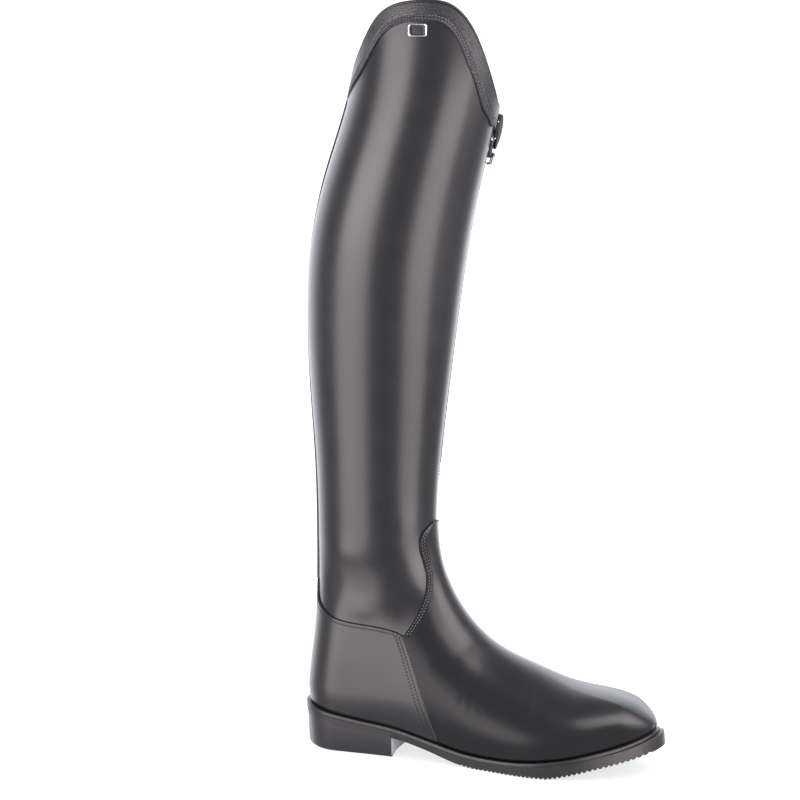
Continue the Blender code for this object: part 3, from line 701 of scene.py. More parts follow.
@dataclass(frozen=True)
class WovenCloth(Finish):
    """Plain woven tape: matt, with threads over and under each other."""

    thread_mm: float = 0.6

    def build(self) -> Material:
        """Makes the material."""
        add, shader, place, made = self.start()
        parts = add("ShaderNodeSeparateXYZ", Vector=place)
        waves = []
        for axis in ("X", "Z"):
            turned = add("ShaderNodeMath", {"operation": "MULTIPLY"}, in0=parts.outputs[axis],
                         in1=math.pi / (self.thread_mm * MM))
            waves.append(add("ShaderNodeMath", {"operation": "SINE"}, in0=turned.outputs[0]).outputs[0])
        both = add("ShaderNodeMath", {"operation": "MULTIPLY"}, in0=waves[0], in1=waves[1])
        bump = add("ShaderNodeBump", Height=both.outputs[0], Distance=self.thread_mm * MM * 0.25,
                   Strength=0.5)
        connect(shader, Normal=bump.outputs["Normal"], Sheen_Weight=0.2)
        return made


@dataclass(frozen=True)
class PlatedMetal(Finish):
    """Die-cast metal with a bright plating: mirror-like, with faint handling marks."""

    metallic: float = 1.0
    mark_mm: float = 1.5

    def build(self) -> Material:
        """Makes the material."""
        add, shader, place, made = self.start()
        marks = add("ShaderNodeTexNoise", Vector=place, Scale=1.0 / (self.mark_mm * MM), Detail=4.0)
        rough = add("ShaderNodeMapRange", Value=marks.outputs["Fac"], From_Min=0.3, From_Max=0.7,
                    To_Min=max(self.roughness - 0.05, 0.02), To_Max=self.roughness + 0.1)
        connect(shader, Roughness=rough.outputs["Result"])
        return made


@dataclass(frozen=True)
class WaxedThread(Finish):
    """Waxed polyester thread: two plies laid round each other, with a dull shine."""

    ply_mm: float = 0.5

    def build(self) -> Material:
        """Makes the material."""
        add, shader, place, made = self.start()
        ply = add("ShaderNodeTexWave", {"bands_direction": "DIAGONAL"}, Vector=place,
                  Scale=1.0 / (self.ply_mm * MM) / 6.0)
        bump = add("ShaderNodeBump", Height=ply.outputs["Fac"], Distance=0.08 * MM, Strength=0.4)
        connect(shader, Normal=bump.outputs["Normal"])
        return made


class Wardrobe:
    """Every finish of the boot, built once."""

    def __init__(self) -> None:
        """Builds the materials."""
        self.calf = BoxCalf("box_calf_shaft", "#0f0e10", 0.31).build()
        self.vamp_calf = BoxCalf("box_calf_vamp", "#0f0e10", 0.31, grain_depth=0.2).build()
        self.counter_calf = BoxCalf("box_calf_counter", "#100f11", 0.33).build()
        self.grained = PrintedGrain("pebbled_collar_calf", "#0c0c0e", 0.37).build()
        self.edging = BoxCalf("folded_edge_calf", "#0a0a0b", 0.4, worn="#0e0e0f").build()
        self.lining = BoxCalf("lining_calf", "#1d1b1a", 0.7, worn="#2a2827", grain_mm=0.8).build()
        # Black thread painted lighter than real: a painted highlight that lets single stitches show at the
        # render's size.
        self.thread = WaxedThread("black_waxed_thread", "#56565b", 0.5).build()
        self.counter_thread = WaxedThread("dark_waxed_thread", "#0c0c0d", 0.6).build()
        self.tape = WovenCloth("zip_tape_weave", "#151516", 0.75).build()
        self.dark_metal = PlatedMetal("black_nickel", "#3a3a3d", 0.28).build()
        self.nickel = PlatedMetal("bright_nickel", "#d8d8da", 0.14).build()
        self.wire_nickel = PlatedMetal("drawn_nickel_wire", "#737376", 0.24).build()
        self.sole_rubber = MouldedRubber("moulded_sole_rubber", "#161517", 0.45).build()
        self.welt_rubber = MouldedRubber("moulded_welt_rubber", "#111112", 0.4).build()
        self.heel_rubber = MouldedRubber("moulded_heel_rubber", "#171618", 0.4).build()


# Making meshes


def as_mesh(name: str, points: Array, faces: list[Sequence[int]]) -> Mesh:
    """A smooth-shaded mesh from places in maker's millimetres and faces."""
    mesh = bpy.data.meshes.new(name)
    mesh.from_pydata(world(points).tolist(), [], faces)
    mesh.shade_smooth()
    return mesh


def grid_faces(rows: int, across: int, closed: bool) -> list[Sequence[int]]:
    """Quads of a grid of rows, joined round at its side where it is closed."""
    faces = []
    for r in range(rows - 1):
        for c in range(across if closed else across - 1):
            after = (c + 1) % across
            faces.append((r * across + c, r * across + after, (r + 1) * across + after, (r + 1) * across + c))
    return faces


def grid_mesh(name: str, grid: Array, closed: bool = False) -> Mesh:
    """A sheet from a grid of places."""
    return as_mesh(name, grid.reshape(-1, 3), grid_faces(*grid.shape[:2], closed))


def lofted(name: str, rings: Array) -> Mesh:
    """A closed body through closed rings of places, capped at both ends."""
    rows, across = rings.shape[:2]
    faces = grid_faces(rows, across, True)
    faces.append(tuple(reversed(range(across))))
    faces.append(tuple((rows - 1) * across + k for k in range(across)))
    return as_mesh(name, rings.reshape(-1, 3), faces)


def put(name: str, mesh: Mesh, *finishes: Material) -> Piece:
    """Links an object with its finishes."""
    obj = bpy.data.objects.new(name, mesh)
    bpy.context.scene.collection.objects.link(obj)
    for finish in finishes:
        mesh.materials.append(finish)
    return obj


def tie(obj: Piece, node: str = "", body: str = BODY) -> Piece:
    """Makes a piece ride on its body and hides the frame's node that it comes in place of, where it has one.

    Args:
        obj: The piece.
        node: The frame's node in whose place it comes.
        body: The body that it rides on.

    Returns:
        The same piece.
    """
    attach(obj, body)
    if node:
        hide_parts(node)
    return obj


def bake(obj: Piece) -> None:
    """Turns an object's modifiers into its mesh."""
    seen = obj.evaluated_get(bpy.context.evaluated_depsgraph_get())
    mesh, old = bpy.data.meshes.new_from_object(seen), obj.data
    obj.modifiers.clear()
    obj.data = mesh
    bpy.data.meshes.remove(old)


def settle(obj: Piece, sharp: float = 40.0) -> Piece:
    """Turns an object's modifiers into its mesh and marks its hard edges.

    Args:
        obj: The object.
        sharp: Degrees between faces past which an edge is hard.

    Returns:
        The same object.
    """
    bake(obj)
    obj.data.name = obj.name
    obj.data.shade_smooth()
    obj.data.set_sharp_from_angle(angle=math.radians(sharp))
    return obj


def join(name: str, pieces: list[Piece]) -> Piece:
    """Joins pieces into the first, under a new name."""
    with bpy.context.temp_override(active_object=pieces[0], selected_editable_objects=pieces):
        bpy.ops.object.join()
    pieces[0].name = name
    return pieces[0]


def thicken(obj: Piece, thickness: float, inside: int = 0) -> None:
    """Gives a sheet a wall towards its inside, with another finish there if wanted."""
    shell = obj.modifiers.new("wall", "SOLIDIFY")
    shell.thickness = thickness * MM
    shell.offset = -1.0
    shell.material_offset = inside
    shell.material_offset_rim = 0


def round_edges(obj: Piece, width: float, segments: int, angle: float = 30.0) -> None:
    """Adds a bevel of a width in millimetres to edges sharper than an angle in degrees."""
    bevel = obj.modifiers.new("edges", "BEVEL")
    bevel.width = width * MM
    bevel.segments = segments
    bevel.limit_method = "ANGLE"
    bevel.angle_limit = math.radians(angle)


def ring_tube(name: str, places: Array, radius: float, sides: int = 10) -> Mesh:
    """A round bar along a closed line.

    Args:
        name: Name of the mesh.
        places: The middle of the bar, in maker's millimetres.
        radius: Its radius.
        sides: Faces round it.

    Returns:
        The mesh.
    """
    along = unit(beside(places))
    first = side = unit(np.cross(along[0], [0.3, 0.5, 0.8]))
    angles = np.linspace(0.0, 2.0 * np.pi, sides, endpoint=False)
    rings = []
    for place, way in zip(places, along):
        side = unit(side - way * float(side @ way))
        other = np.cross(way, side)
        rings.append(place + radius * (np.cos(angles)[:, None] * side + np.sin(angles)[:, None] * other))
    end = unit(first - along[0] * float(first @ along[0]))
    drift = math.atan2(float(np.cross(along[0], end) @ side), float(end @ side))
    shift = int(round(drift / (2.0 * math.pi) * sides))
    faces = grid_faces(len(rings), sides, True)
    last = (len(rings) - 1) * sides
    for c in range(sides):
        faces.append((last + c, last + (c + 1) % sides, (c + 1 + shift) % sides, (c + shift) % sides))
    return as_mesh(name, np.concatenate(rings), faces)


# Geometry Nodes


@dataclass(frozen=True)
class Row:
    """Small equal bodies laid along a path on the surface: stitches or zip coils."""

    pitch: float
    length: float
    width: float
    height: float

    def tree(self, name: str, finish: Material) -> bpy.types.GeometryNodeTree:
        """Builds the node tree with its named inputs.

        Args:
            name: Name of the tree.
            finish: Finish of the bodies.

        Returns:
            The tree.
        """
        tree = bpy.data.node_groups.new(name, "GeometryNodeTree")
        face = tree.interface
        face.new_socket("Geometry", in_out="INPUT", socket_type="NodeSocketGeometry")
        for label in ("Pitch", "Length", "Width", "Height"):
            face.new_socket(label, in_out="INPUT", socket_type="NodeSocketFloat")
        face.new_socket("Geometry", in_out="OUTPUT", socket_type="NodeSocketGeometry")
        add = partial(add_node, tree)
        given = add("NodeGroupInput").outputs
        path = add("GeometryNodeMeshToCurve", Mesh=given["Geometry"])
        even = add("GeometryNodeResampleCurve", {"mode": "LENGTH"}, Curve=path.outputs["Curve"],
                   Length=given["Pitch"])
        ball = add("GeometryNodeMeshUVSphere", Segments=8, Rings=5, Radius=0.5)
        size = add("ShaderNodeCombineXYZ", X=given["Length"], Y=given["Width"], Z=given["Height"])
        body = add("GeometryNodeTransform", Geometry=ball.outputs["Mesh"], Scale=size.outputs["Vector"])
        way = add("GeometryNodeInputTangent")
        lie = add("FunctionNodeAlignRotationToVector", {"axis": "X"}, Vector=way.outputs["Tangent"])
        out = add("GeometryNodeInputNamedAttribute", {"data_type": "FLOAT_VECTOR"}, Name="out")
        face_out = add("FunctionNodeAlignRotationToVector", {"axis": "Z", "pivot_axis": "X"},
                       Rotation=lie.outputs["Rotation"], Vector=out.outputs["Attribute"])
        laid = add("GeometryNodeInstanceOnPoints", Points=even.outputs["Curve"],
                   Instance=body.outputs["Geometry"], Rotation=face_out.outputs["Rotation"])
        real = add("GeometryNodeRealizeInstances", Geometry=laid.outputs["Instances"])
        soft = add("GeometryNodeSetShadeSmooth", Geometry=real.outputs["Geometry"])
        dressed = add("GeometryNodeSetMaterial", Geometry=soft.outputs["Geometry"], Material=finish)
        add("NodeGroupOutput", Geometry=dressed.outputs["Geometry"])
        return tree

    def lay(self, name: str, paths: list[Pair], finish: Material) -> Piece:
        """Lays the bodies along paths as one plain mesh that rides on the boot.

        Args:
            name: Name of the piece.
            paths: Places of each path, with the directions out of the surface.
            finish: Finish of the bodies.

        Returns:
            The piece.
        """
        places, outs = (np.concatenate([path[k] for path in paths]) for k in (0, 1))
        edges, start = [], 0
        for path, _ in paths:
            edges += [(start + k, start + k + 1) for k in range(len(path) - 1)]
            start += len(path)
        mesh = bpy.data.meshes.new(name)
        mesh.from_pydata(world(places).tolist(), edges, [])
        mesh.attributes.new("out", "FLOAT_VECTOR", "POINT").data.foreach_set("vector", outs.ravel())
        obj = put(name, mesh)
        tree = self.tree(name, finish)
        modifier = obj.modifiers.new("row", "NODES")
        modifier.node_group = tree
        for item in tree.interface.items_tree:
            if item.in_out == "INPUT" and item.name != "Geometry":
                modifier[item.identifier] = getattr(self, item.name.lower()) * MM
        bake(obj)
        bpy.data.node_groups.remove(tree)
        return tie(obj)


# Leather


@dataclass(frozen=True)
class Hem:
    """How the edge of an overlay looks from the edge inward."""

    thickness: float = 1.1
    base: float = 0.15
    roll: float = 0.7
    bead: float = 0.16
    bead_at: float = 0.95
    bead_width: float = 0.55
    stitch_rows: tuple[float, ...] = (2.0, 4.2)
    channel: float = 0.5
    channel_width: float = 0.55

    def lift(self, distance: Array, strength: Array = 1.0) -> Array:
        """Height over the surface at distances from the edge.

        Args:
            distance: Distances in millimetres.
            strength: 0 where the edge lies plain under another piece, 1 where it shows.

        Returns:
            The heights.
        """
        rolled = self.base + self.thickness * round_end(distance / self.roll)
        shaped = rolled + self.bead * bell(distance - self.bead_at, self.bead_width)
        for row in self.stitch_rows:
            shaped = shaped - self.channel * bell(distance - row, self.channel_width)
        plain = self.base + self.thickness
        return plain + (shaped - plain) * strength


@dataclass
class Cutter:
    """Edges of the overlays, drawn in the side view: x, z."""

    last: Last
    vamp_edge: Table = (
        (99.5, 169.5), (97.0, 168.2), (94.2, 164.6), (91.6, 159.0), (91.3, 152.5), (93.0, 144.0),
        (95.4, 135.0), (97.0, 126.0), (96.2, 115.0), (91.9, 103.0), (84.0, 89.5),
    )
    seam: Table = ((84.0, 89.5), (89.5, 76.7), (95.2, 62.1), (100.5, 47.3), (105.7, 32.4), (113.0, 12.0))
    counter_top: Table = (
        (5.0, 123.0), (10.4, 122.0), (12.2, 112.0), (14.6, 106.0), (20.0, 102.0), (27.4, 98.7),
        (38.2, 96.4), (51.4, 95.3), (64.5, 94.4), (73.0, 93.2), (79.6, 91.6), (84.0, 89.5),
    )

    def __post_init__(self) -> None:
        """Finds the edges' rows and turns on the last."""
        front = np.concatenate([smooth_line(self.vamp_edge, 240), smooth_line(self.seam, 160)[1:]])[::-1]
        self.edge_rows, self.edge_turns = self.last.locate(front)
        rows, turns = self.last.locate(smooth_line(self.counter_top, 300))
        order = np.argsort(turns)
        self.top_turns, self.top_rows = turns[order], rows[order]
        self.corner_row = float(self.top_rows[-1])
        self.corner_turn = float(self.top_turns[-1])
        self.tip_row = float(self.edge_rows[-1])

    def edge_turn(self, row: Array) -> Array:
        """Turn of the vamp's edge and the seam, on the outer side."""
        return np.interp(row, self.edge_rows, self.edge_turns)

    def top_row(self, turn: Array) -> Array:
        """Row of the counter's top edge, by the turn on the outer side."""
        return np.interp(turn, self.top_turns, self.top_rows)


@dataclass
class Leather:
    """Upper, vamp, counter, collar band, binding and back stay."""

    last: Last
    cutter: Cutter
    wardrobe: Wardrobe
    wall: float = 2.2
    skin_wall: float = 0.12
    margin: float = 9.0
    around: int = 144
    band_around: int = 288
    row_step: float = 0.1
    recess_ease: tuple[float, float] = (0.7, 2.0)
    # The vamp's rows, crowded towards its tip, and how much of a row past the corner its edge takes to show.
    vamp_rows: int = 170
    tip_gap: float = 0.004
    tip_crowding: float = 1.35
    edge_start: float = 0.4
    edge_fade: float = 0.25
    vamp_even: int = 46
    counter_even: int = 30
    # Rows past the corner, and millimetres to the middle or to the top, that stitches leave free.
    stitch_start: float = 0.05
    stitch_room: float = 1.2
    stitch_top_room: float = 0.4
    tuck_angles: tuple[float, ...] = (40.0, 30.0, 20.0, 10.0)
    # Distances from an overlay's edge at which its surface is drawn, close together where its hem bends.
    edge_steps: tuple[float, ...] = (
        0.0, 0.06, 0.16, 0.32, 0.52, 0.75, 1.0, 1.3, 1.6, 1.8, 2.0, 2.2, 2.45, 2.7, 2.95, 3.2, 3.45, 3.7,
        3.95, 4.2, 4.45, 4.7, 5.0, 5.5, 6.2, 7.2, 8.6, 10.5,
    )
    stitch: Row = Row(2.3, 1.5, 0.85, 0.8)
    vamp_hem: Hem = Hem()
    counter_stitch: Row = Row(2.4, 1.5, 1.0, 0.95)
    counter_hem: Hem = Hem(thickness=1.35, stitch_rows=(2.6, 4.9), channel=0.14)
    counter_top_hem: Hem = Hem(thickness=1.35, stitch_rows=(3.0,), channel=0.14)
    band_hem: Hem = Hem(thickness=1.2, stitch_rows=(1.9, 3.9), bead=0.1)
    band_width: float = 12.5
    band_slope_most: float = 1.6
    binding_radius: float = 1.2
    recess_turn: float = 208.0
    recess_reach: float = 8.0
    recess_half: float = 5.5
    recess_depth: float = 1.0
    recess_foot: float = 202.0
    # Heights of the stay's places as from, to and count, closer together at its ends.
    stay_places: Table = ((117.0, 130.0, 27), (130.0, 452.0, 100), (452.0, 465.5, 32))
    # Height and length of its taper at the foot and at the top, and how proud the ends stay.
    stay_foot: tuple[float, float] = (117.8, 1.6)
    stay_top: tuple[float, float] = (465.2, 1.8)
    stay_ends: float = 0.27
    # How much prouder it is at the calf, from which height, over which length.
    stay_calf: tuple[float, float, float] = (0.16, 360.0, 80.0)
    # across, out
    stay_profile: Table = (
        (-3.3, -0.05), (-3.25, 0.7), (-2.6, 1.2), (-2.0, 1.9), (-1.5, 2.9), (-0.8, 3.4), (0.0, 3.55),
        (0.8, 3.4), (1.5, 2.9), (2.0, 1.9), (2.6, 1.2), (3.25, 0.7), (3.3, -0.05),
    )

    def build(self) -> list[Piece]:
        """Builds every leather piece of the foot and shaft."""
        return [self.upper(), self.vamp(), self.counter(), self.band(), self.binding(), self.stay()]

    def upper(self) -> Piece:
        """The hollow foot and shaft, open at the collar and underneath, with a recess for the zip."""
        last = self.last
        steps = np.arange(-self.recess_reach, self.recess_reach + 0.1, 0.5)
        turns = np.union1d(np.arange(self.around) * 360.0 / self.around, self.recess_turn + steps)
        below = [last.under(turns, 90.0, self.margin - last.tuck, 0.0)]
        below += [last.under(turns, angle, 0.0, 0.0) for angle in (90.0, 72.0, 54.0, 36.0, 18.0)]
        rows = np.linspace(0.0, last.top_row, round(last.top_row / self.row_step) + 1)[:, None]
        bare = last.point(rows, turns[None, :])
        off = np.abs(turns - self.recess_turn) * np.linalg.norm(np.gradient(bare, turns, axis=1), axis=-1)
        across, up = self.recess_ease
        sunk = ease((self.recess_half - off) / across) * ease((bare[..., 2] - self.recess_foot) / up)
        grid = np.concatenate([np.array(below), last.skin(rows, turns[None, :], -self.recess_depth * sunk)])
        obj = put("shaft_and_foot", grid_mesh("shaft_and_foot", grid, closed=True), self.wardrobe.calf,
                  self.wardrobe.lining)
        thicken(obj, self.wall, inside=1)
        return tie(settle(obj, 50.0), "upper")

    def _overlay(self, name: str, grid: Array, finish: Material, node: str, closed: bool = False
                 ) -> Piece:
        """Makes an overlay from a grid of its outer surface.

        Args:
            name: Name of the piece.
            grid: Places of its outer surface.
            finish: Its finish.
            node: The node that it replaces.
            closed: Whether it goes all the way round.

        Returns:
            The piece.
        """
        obj = put(name, grid_mesh(name, grid, closed), finish)
        thicken(obj, self.skin_wall)
        return tie(settle(obj, 55.0), node)

    def _seam(self, hem: Hem, rows: Array, turns: Array) -> Pair:
        """Places and outward directions of a stitch row that is sunk into a hem."""
        lift = hem.base + hem.thickness - hem.channel * 0.5
        return self.last.skin(rows, turns, lift), self.last.normal(rows, turns)

    def _spaced(self, row: float, start: float, end: float, more: int) -> Pair:
        """Turns along a row at the edge steps from its start, then evenly to its end.

        Args:
            row: The row.
            start: Turn at the start.
            end: Turn at the end.
            more: How many even places follow, up to and with the end.

        Returns:
            The turns and their distances from the start.
        """
        dense = np.linspace(start, end, 90)
        length = run_length(self.last.point(np.full(90, row), dense))
        total = length[-1]
        near = np.array(self.edge_steps) * min(1.0, total * 0.8 / self.edge_steps[-1])
        distance = np.concatenate([near, near[-1] + (total - near[-1]) * np.arange(1, more + 1) / more])
        return np.interp(distance, length, dense), distance

    def vamp(self) -> Piece:
        """The front piece from the toe up to its point at the throat, with its stitches."""
        hem, last, corner = self.vamp_hem, self.last, self.cutter.corner_row
        share = 1.0 - (1.0 - np.linspace(0.0, 1.0, self.vamp_rows)) ** self.tip_crowding
        rows = (self.cutter.tip_row - self.tip_gap) * share
        lines, seams = [], {(sign, k): [] for sign in (1, -1) for k in range(len(hem.stitch_rows))}
        for row in rows:
            half_turns, half = self._spaced(row, float(self.cutter.edge_turn(row)), 180.0, self.vamp_even)
            turns = np.concatenate([half_turns, 360.0 - half_turns[-2::-1]])
            shows = ease((row - corner) / self.edge_fade + self.edge_start)
            lift = hem.lift(np.concatenate([half, half[-2::-1]]), shows)
            if not lines:
                lines = [last.under(turns, angle, 0.0, hem.base + hem.thickness)
                         for angle in self.tuck_angles]
            lines.append(last.skin(np.full(len(turns), row), turns, lift))
            for k, wanted in enumerate(hem.stitch_rows):
                if row > corner + self.stitch_start and half[-1] > wanted + self.stitch_room:
                    turn = float(np.interp(wanted, half, half_turns))
                    seams[(1, k)].append((row, turn))
                    seams[(-1, k)].append((row, 360.0 - turn))
        obj = self._overlay("vamp_front", np.array(lines), self.wardrobe.vamp_calf, "vamp")
        paths = [self._seam(hem, *np.array(line).T) for line in seams.values()]
        self.stitch.lay("vamp_stitches", paths, self.wardrobe.thread)
        return obj

    def counter(self) -> Piece:
        """The heel piece, from seam to seam round the back, with its stitches."""
        last, cutter, seam_hem = self.last, self.cutter, self.counter_hem
        places, distance = self._spaced(cutter.corner_row, cutter.corner_turn, 0.0, self.counter_even)
        share = places / cutter.corner_turn
        share = np.concatenate([share, -share[-2::-1]])
        from_seam = np.concatenate([distance, distance[-2::-1]])
        top = cutter.top_row(np.abs(share) * cutter.corner_turn)
        heights = np.concatenate([np.linspace(0.0, 0.9, 60), 1.0 - np.geomspace(0.09, 0.001, 34), [1.0]])
        rows = top * heights[:, None]
        turns = np.abs(share) * cutter.edge_turn(np.minimum(rows, cutter.corner_row))
        turns = np.where(share < 0.0, 360.0 - turns, turns)
        steps = np.linalg.norm(np.diff(last.point(rows, turns), axis=0), axis=-1)
        from_top = np.concatenate([np.cumsum(steps[::-1], axis=0)[::-1], np.zeros((1, len(share)))])
        lift = np.minimum(seam_hem.lift(np.broadcast_to(from_seam, rows.shape)),
                          self.counter_top_hem.lift(from_top))
        below = [last.under(turns[0], angle, 0.0, seam_hem.base + seam_hem.thickness)
                 for angle in self.tuck_angles]
        grid = np.concatenate([np.array(below), last.skin(rows, turns, lift)])
        obj = self._overlay("heel_counter", grid, self.wardrobe.counter_calf, "counter")
        self.counter_stitch.lay("counter_stitches", self._counter_paths(rows, turns, from_top, from_seam),
                                self.wardrobe.counter_thread)
        return obj

    def _counter_paths(self, rows: Array, turns: Array, from_top: Array, from_seam: Array) -> list[Pair]:
        """Stitch paths of the counter: two along each seam and one along the top edge.

        Args:
            rows: Rows of the counter's places.
            turns: Their turns.
            from_top: Their distances from the top edge.
            from_seam: Distances of its columns from the nearer seam.

        Returns:
            The paths.
        """
        top_wanted = self.counter_top_hem.stitch_rows[0]
        count = len(from_seam)
        half = count // 2 + 1
        paths = []
        for wanted in self.counter_hem.stitch_rows:
            for side in (slice(0, half), slice(count - 1, half - 2, -1)):
                line = np.array([[np.interp(wanted, from_seam[side], values[side])
                                  for values in level] for level in zip(rows, turns, from_top)])
                kept = line[line[:, 2] > top_wanted + self.stitch_top_room]
                paths.append(self._seam(self.counter_hem, kept[:, 0], kept[:, 1]))
        line = []
        for c in np.flatnonzero(from_seam > self.counter_hem.stitch_rows[0] - 0.3):
            row = np.interp(-top_wanted, -from_top[:, c], rows[:, c])
            line.append((row, np.interp(row, rows[:, c], turns[:, c])))
        paths.append(self._seam(self.counter_hem, *np.array(line).T))
        return paths

    def band(self) -> Piece:
        """The grained band round the collar, with two stitch rows along its lower edge."""
        last, hem, low = self.last, self.band_hem, float(self.last.level_rows)
        turns = np.arange(self.band_around) * 360.0 / self.band_around
        rim = np.array([last.rim(t) for t in turns])
        way = beside(last.wall(turns, rim))
        slope = np.abs(way[:, 2]) / np.linalg.norm(way[:, :2], axis=1)
        stretch = np.sqrt(1.0 + np.minimum(slope, self.band_slope_most) ** 2)
        base = last.point(np.full(self.band_around, low), turns)[:, 2]

        def row_at(step: float) -> Array:
            """Rows at a distance from the band's lower edge."""
            z = rim - self.band_width * stretch + step * stretch
            return low + (last.top_row - low) * (z - base) / (rim - base)

        steps = np.concatenate([self.edge_steps[:23], np.linspace(5.8, self.band_width, 10)])
        rows = np.minimum(np.array([row_at(step) for step in steps]), last.top_row)
        lift = hem.lift(np.broadcast_to(steps[:, None], rows.shape))
        grid = last.skin(rows, np.broadcast_to(turns, rows.shape), lift)
        obj = self._overlay("collar_facing", grid, self.wardrobe.grained, "collar_band", True)
        loop = np.append(turns, 360.0)
        lines = [row_at(wanted) for wanted in hem.stitch_rows]
        paths = [self._seam(hem, np.append(line, line[0]), loop) for line in lines]
        self.stitch.lay("collar_stitches", paths, self.wardrobe.thread)
        return obj

    def binding(self) -> Piece:
        """The rolled bead that caps the rim."""
        turns = np.arange(self.band_around) * 360.0 / self.band_around
        top = np.full(self.band_around, self.last.top_row)
        rim, out = self.last.point(top, turns), self.last.normal(top, turns)
        up = unit(np.cross(out, beside(rim)))
        up = np.where(up[:, 2:3] < 0.0, -up, up)
        places = rim + out * 0.1 + up * (self.binding_radius * 0.8)
        mesh = ring_tube("collar_piping", places, self.binding_radius)
        return tie(put("collar_piping", mesh, self.wardrobe.edging), "collar_binding")

    def stay(self) -> Piece:
        """The narrow strip over the back seam, tapered at both ends and proudest behind the calf."""
        back_at = self.last.back_at
        z = np.unique(np.concatenate([np.linspace(*part) for part in self.stay_places]))
        none = np.zeros(len(z))
        (foot, foot_length), (top, top_length) = self.stay_foot, self.stay_top
        ends = ease((z - foot) / foot_length) * ease((top - z) / top_length)
        more, start, length = self.stay_calf
        proud = (self.stay_ends + (1.0 - self.stay_ends) * ends) * (1.0 + more * ease((z - start) / length))
        proud = proud[:, None]
        back = np.stack([back_at(z), none, z], axis=-1)
        out = unit(np.stack([none - 4.0, none, back_at(z + 2.0) - back_at(z - 2.0)], axis=-1))
        inward = np.array([0.0, 1.0, 0.0])
        grid = np.array([back + inward * a + out * o * proud for a, o in self.stay_profile])
        return self._overlay("back_strip", grid.transpose(1, 0, 2)[:, ::-1], self.wardrobe.edging,
                             "back_stay")


# Zip


def arc(centre: Sequence[float], radius: float, start: float, end: float, steps: int) -> list[tuple]:
    """Points on an arc, by angles in degrees."""
    angles = np.radians(np.linspace(start, end, steps))
    return [(centre[0] + radius * math.cos(a), centre[1] + radius * math.sin(a)) for a in angles]


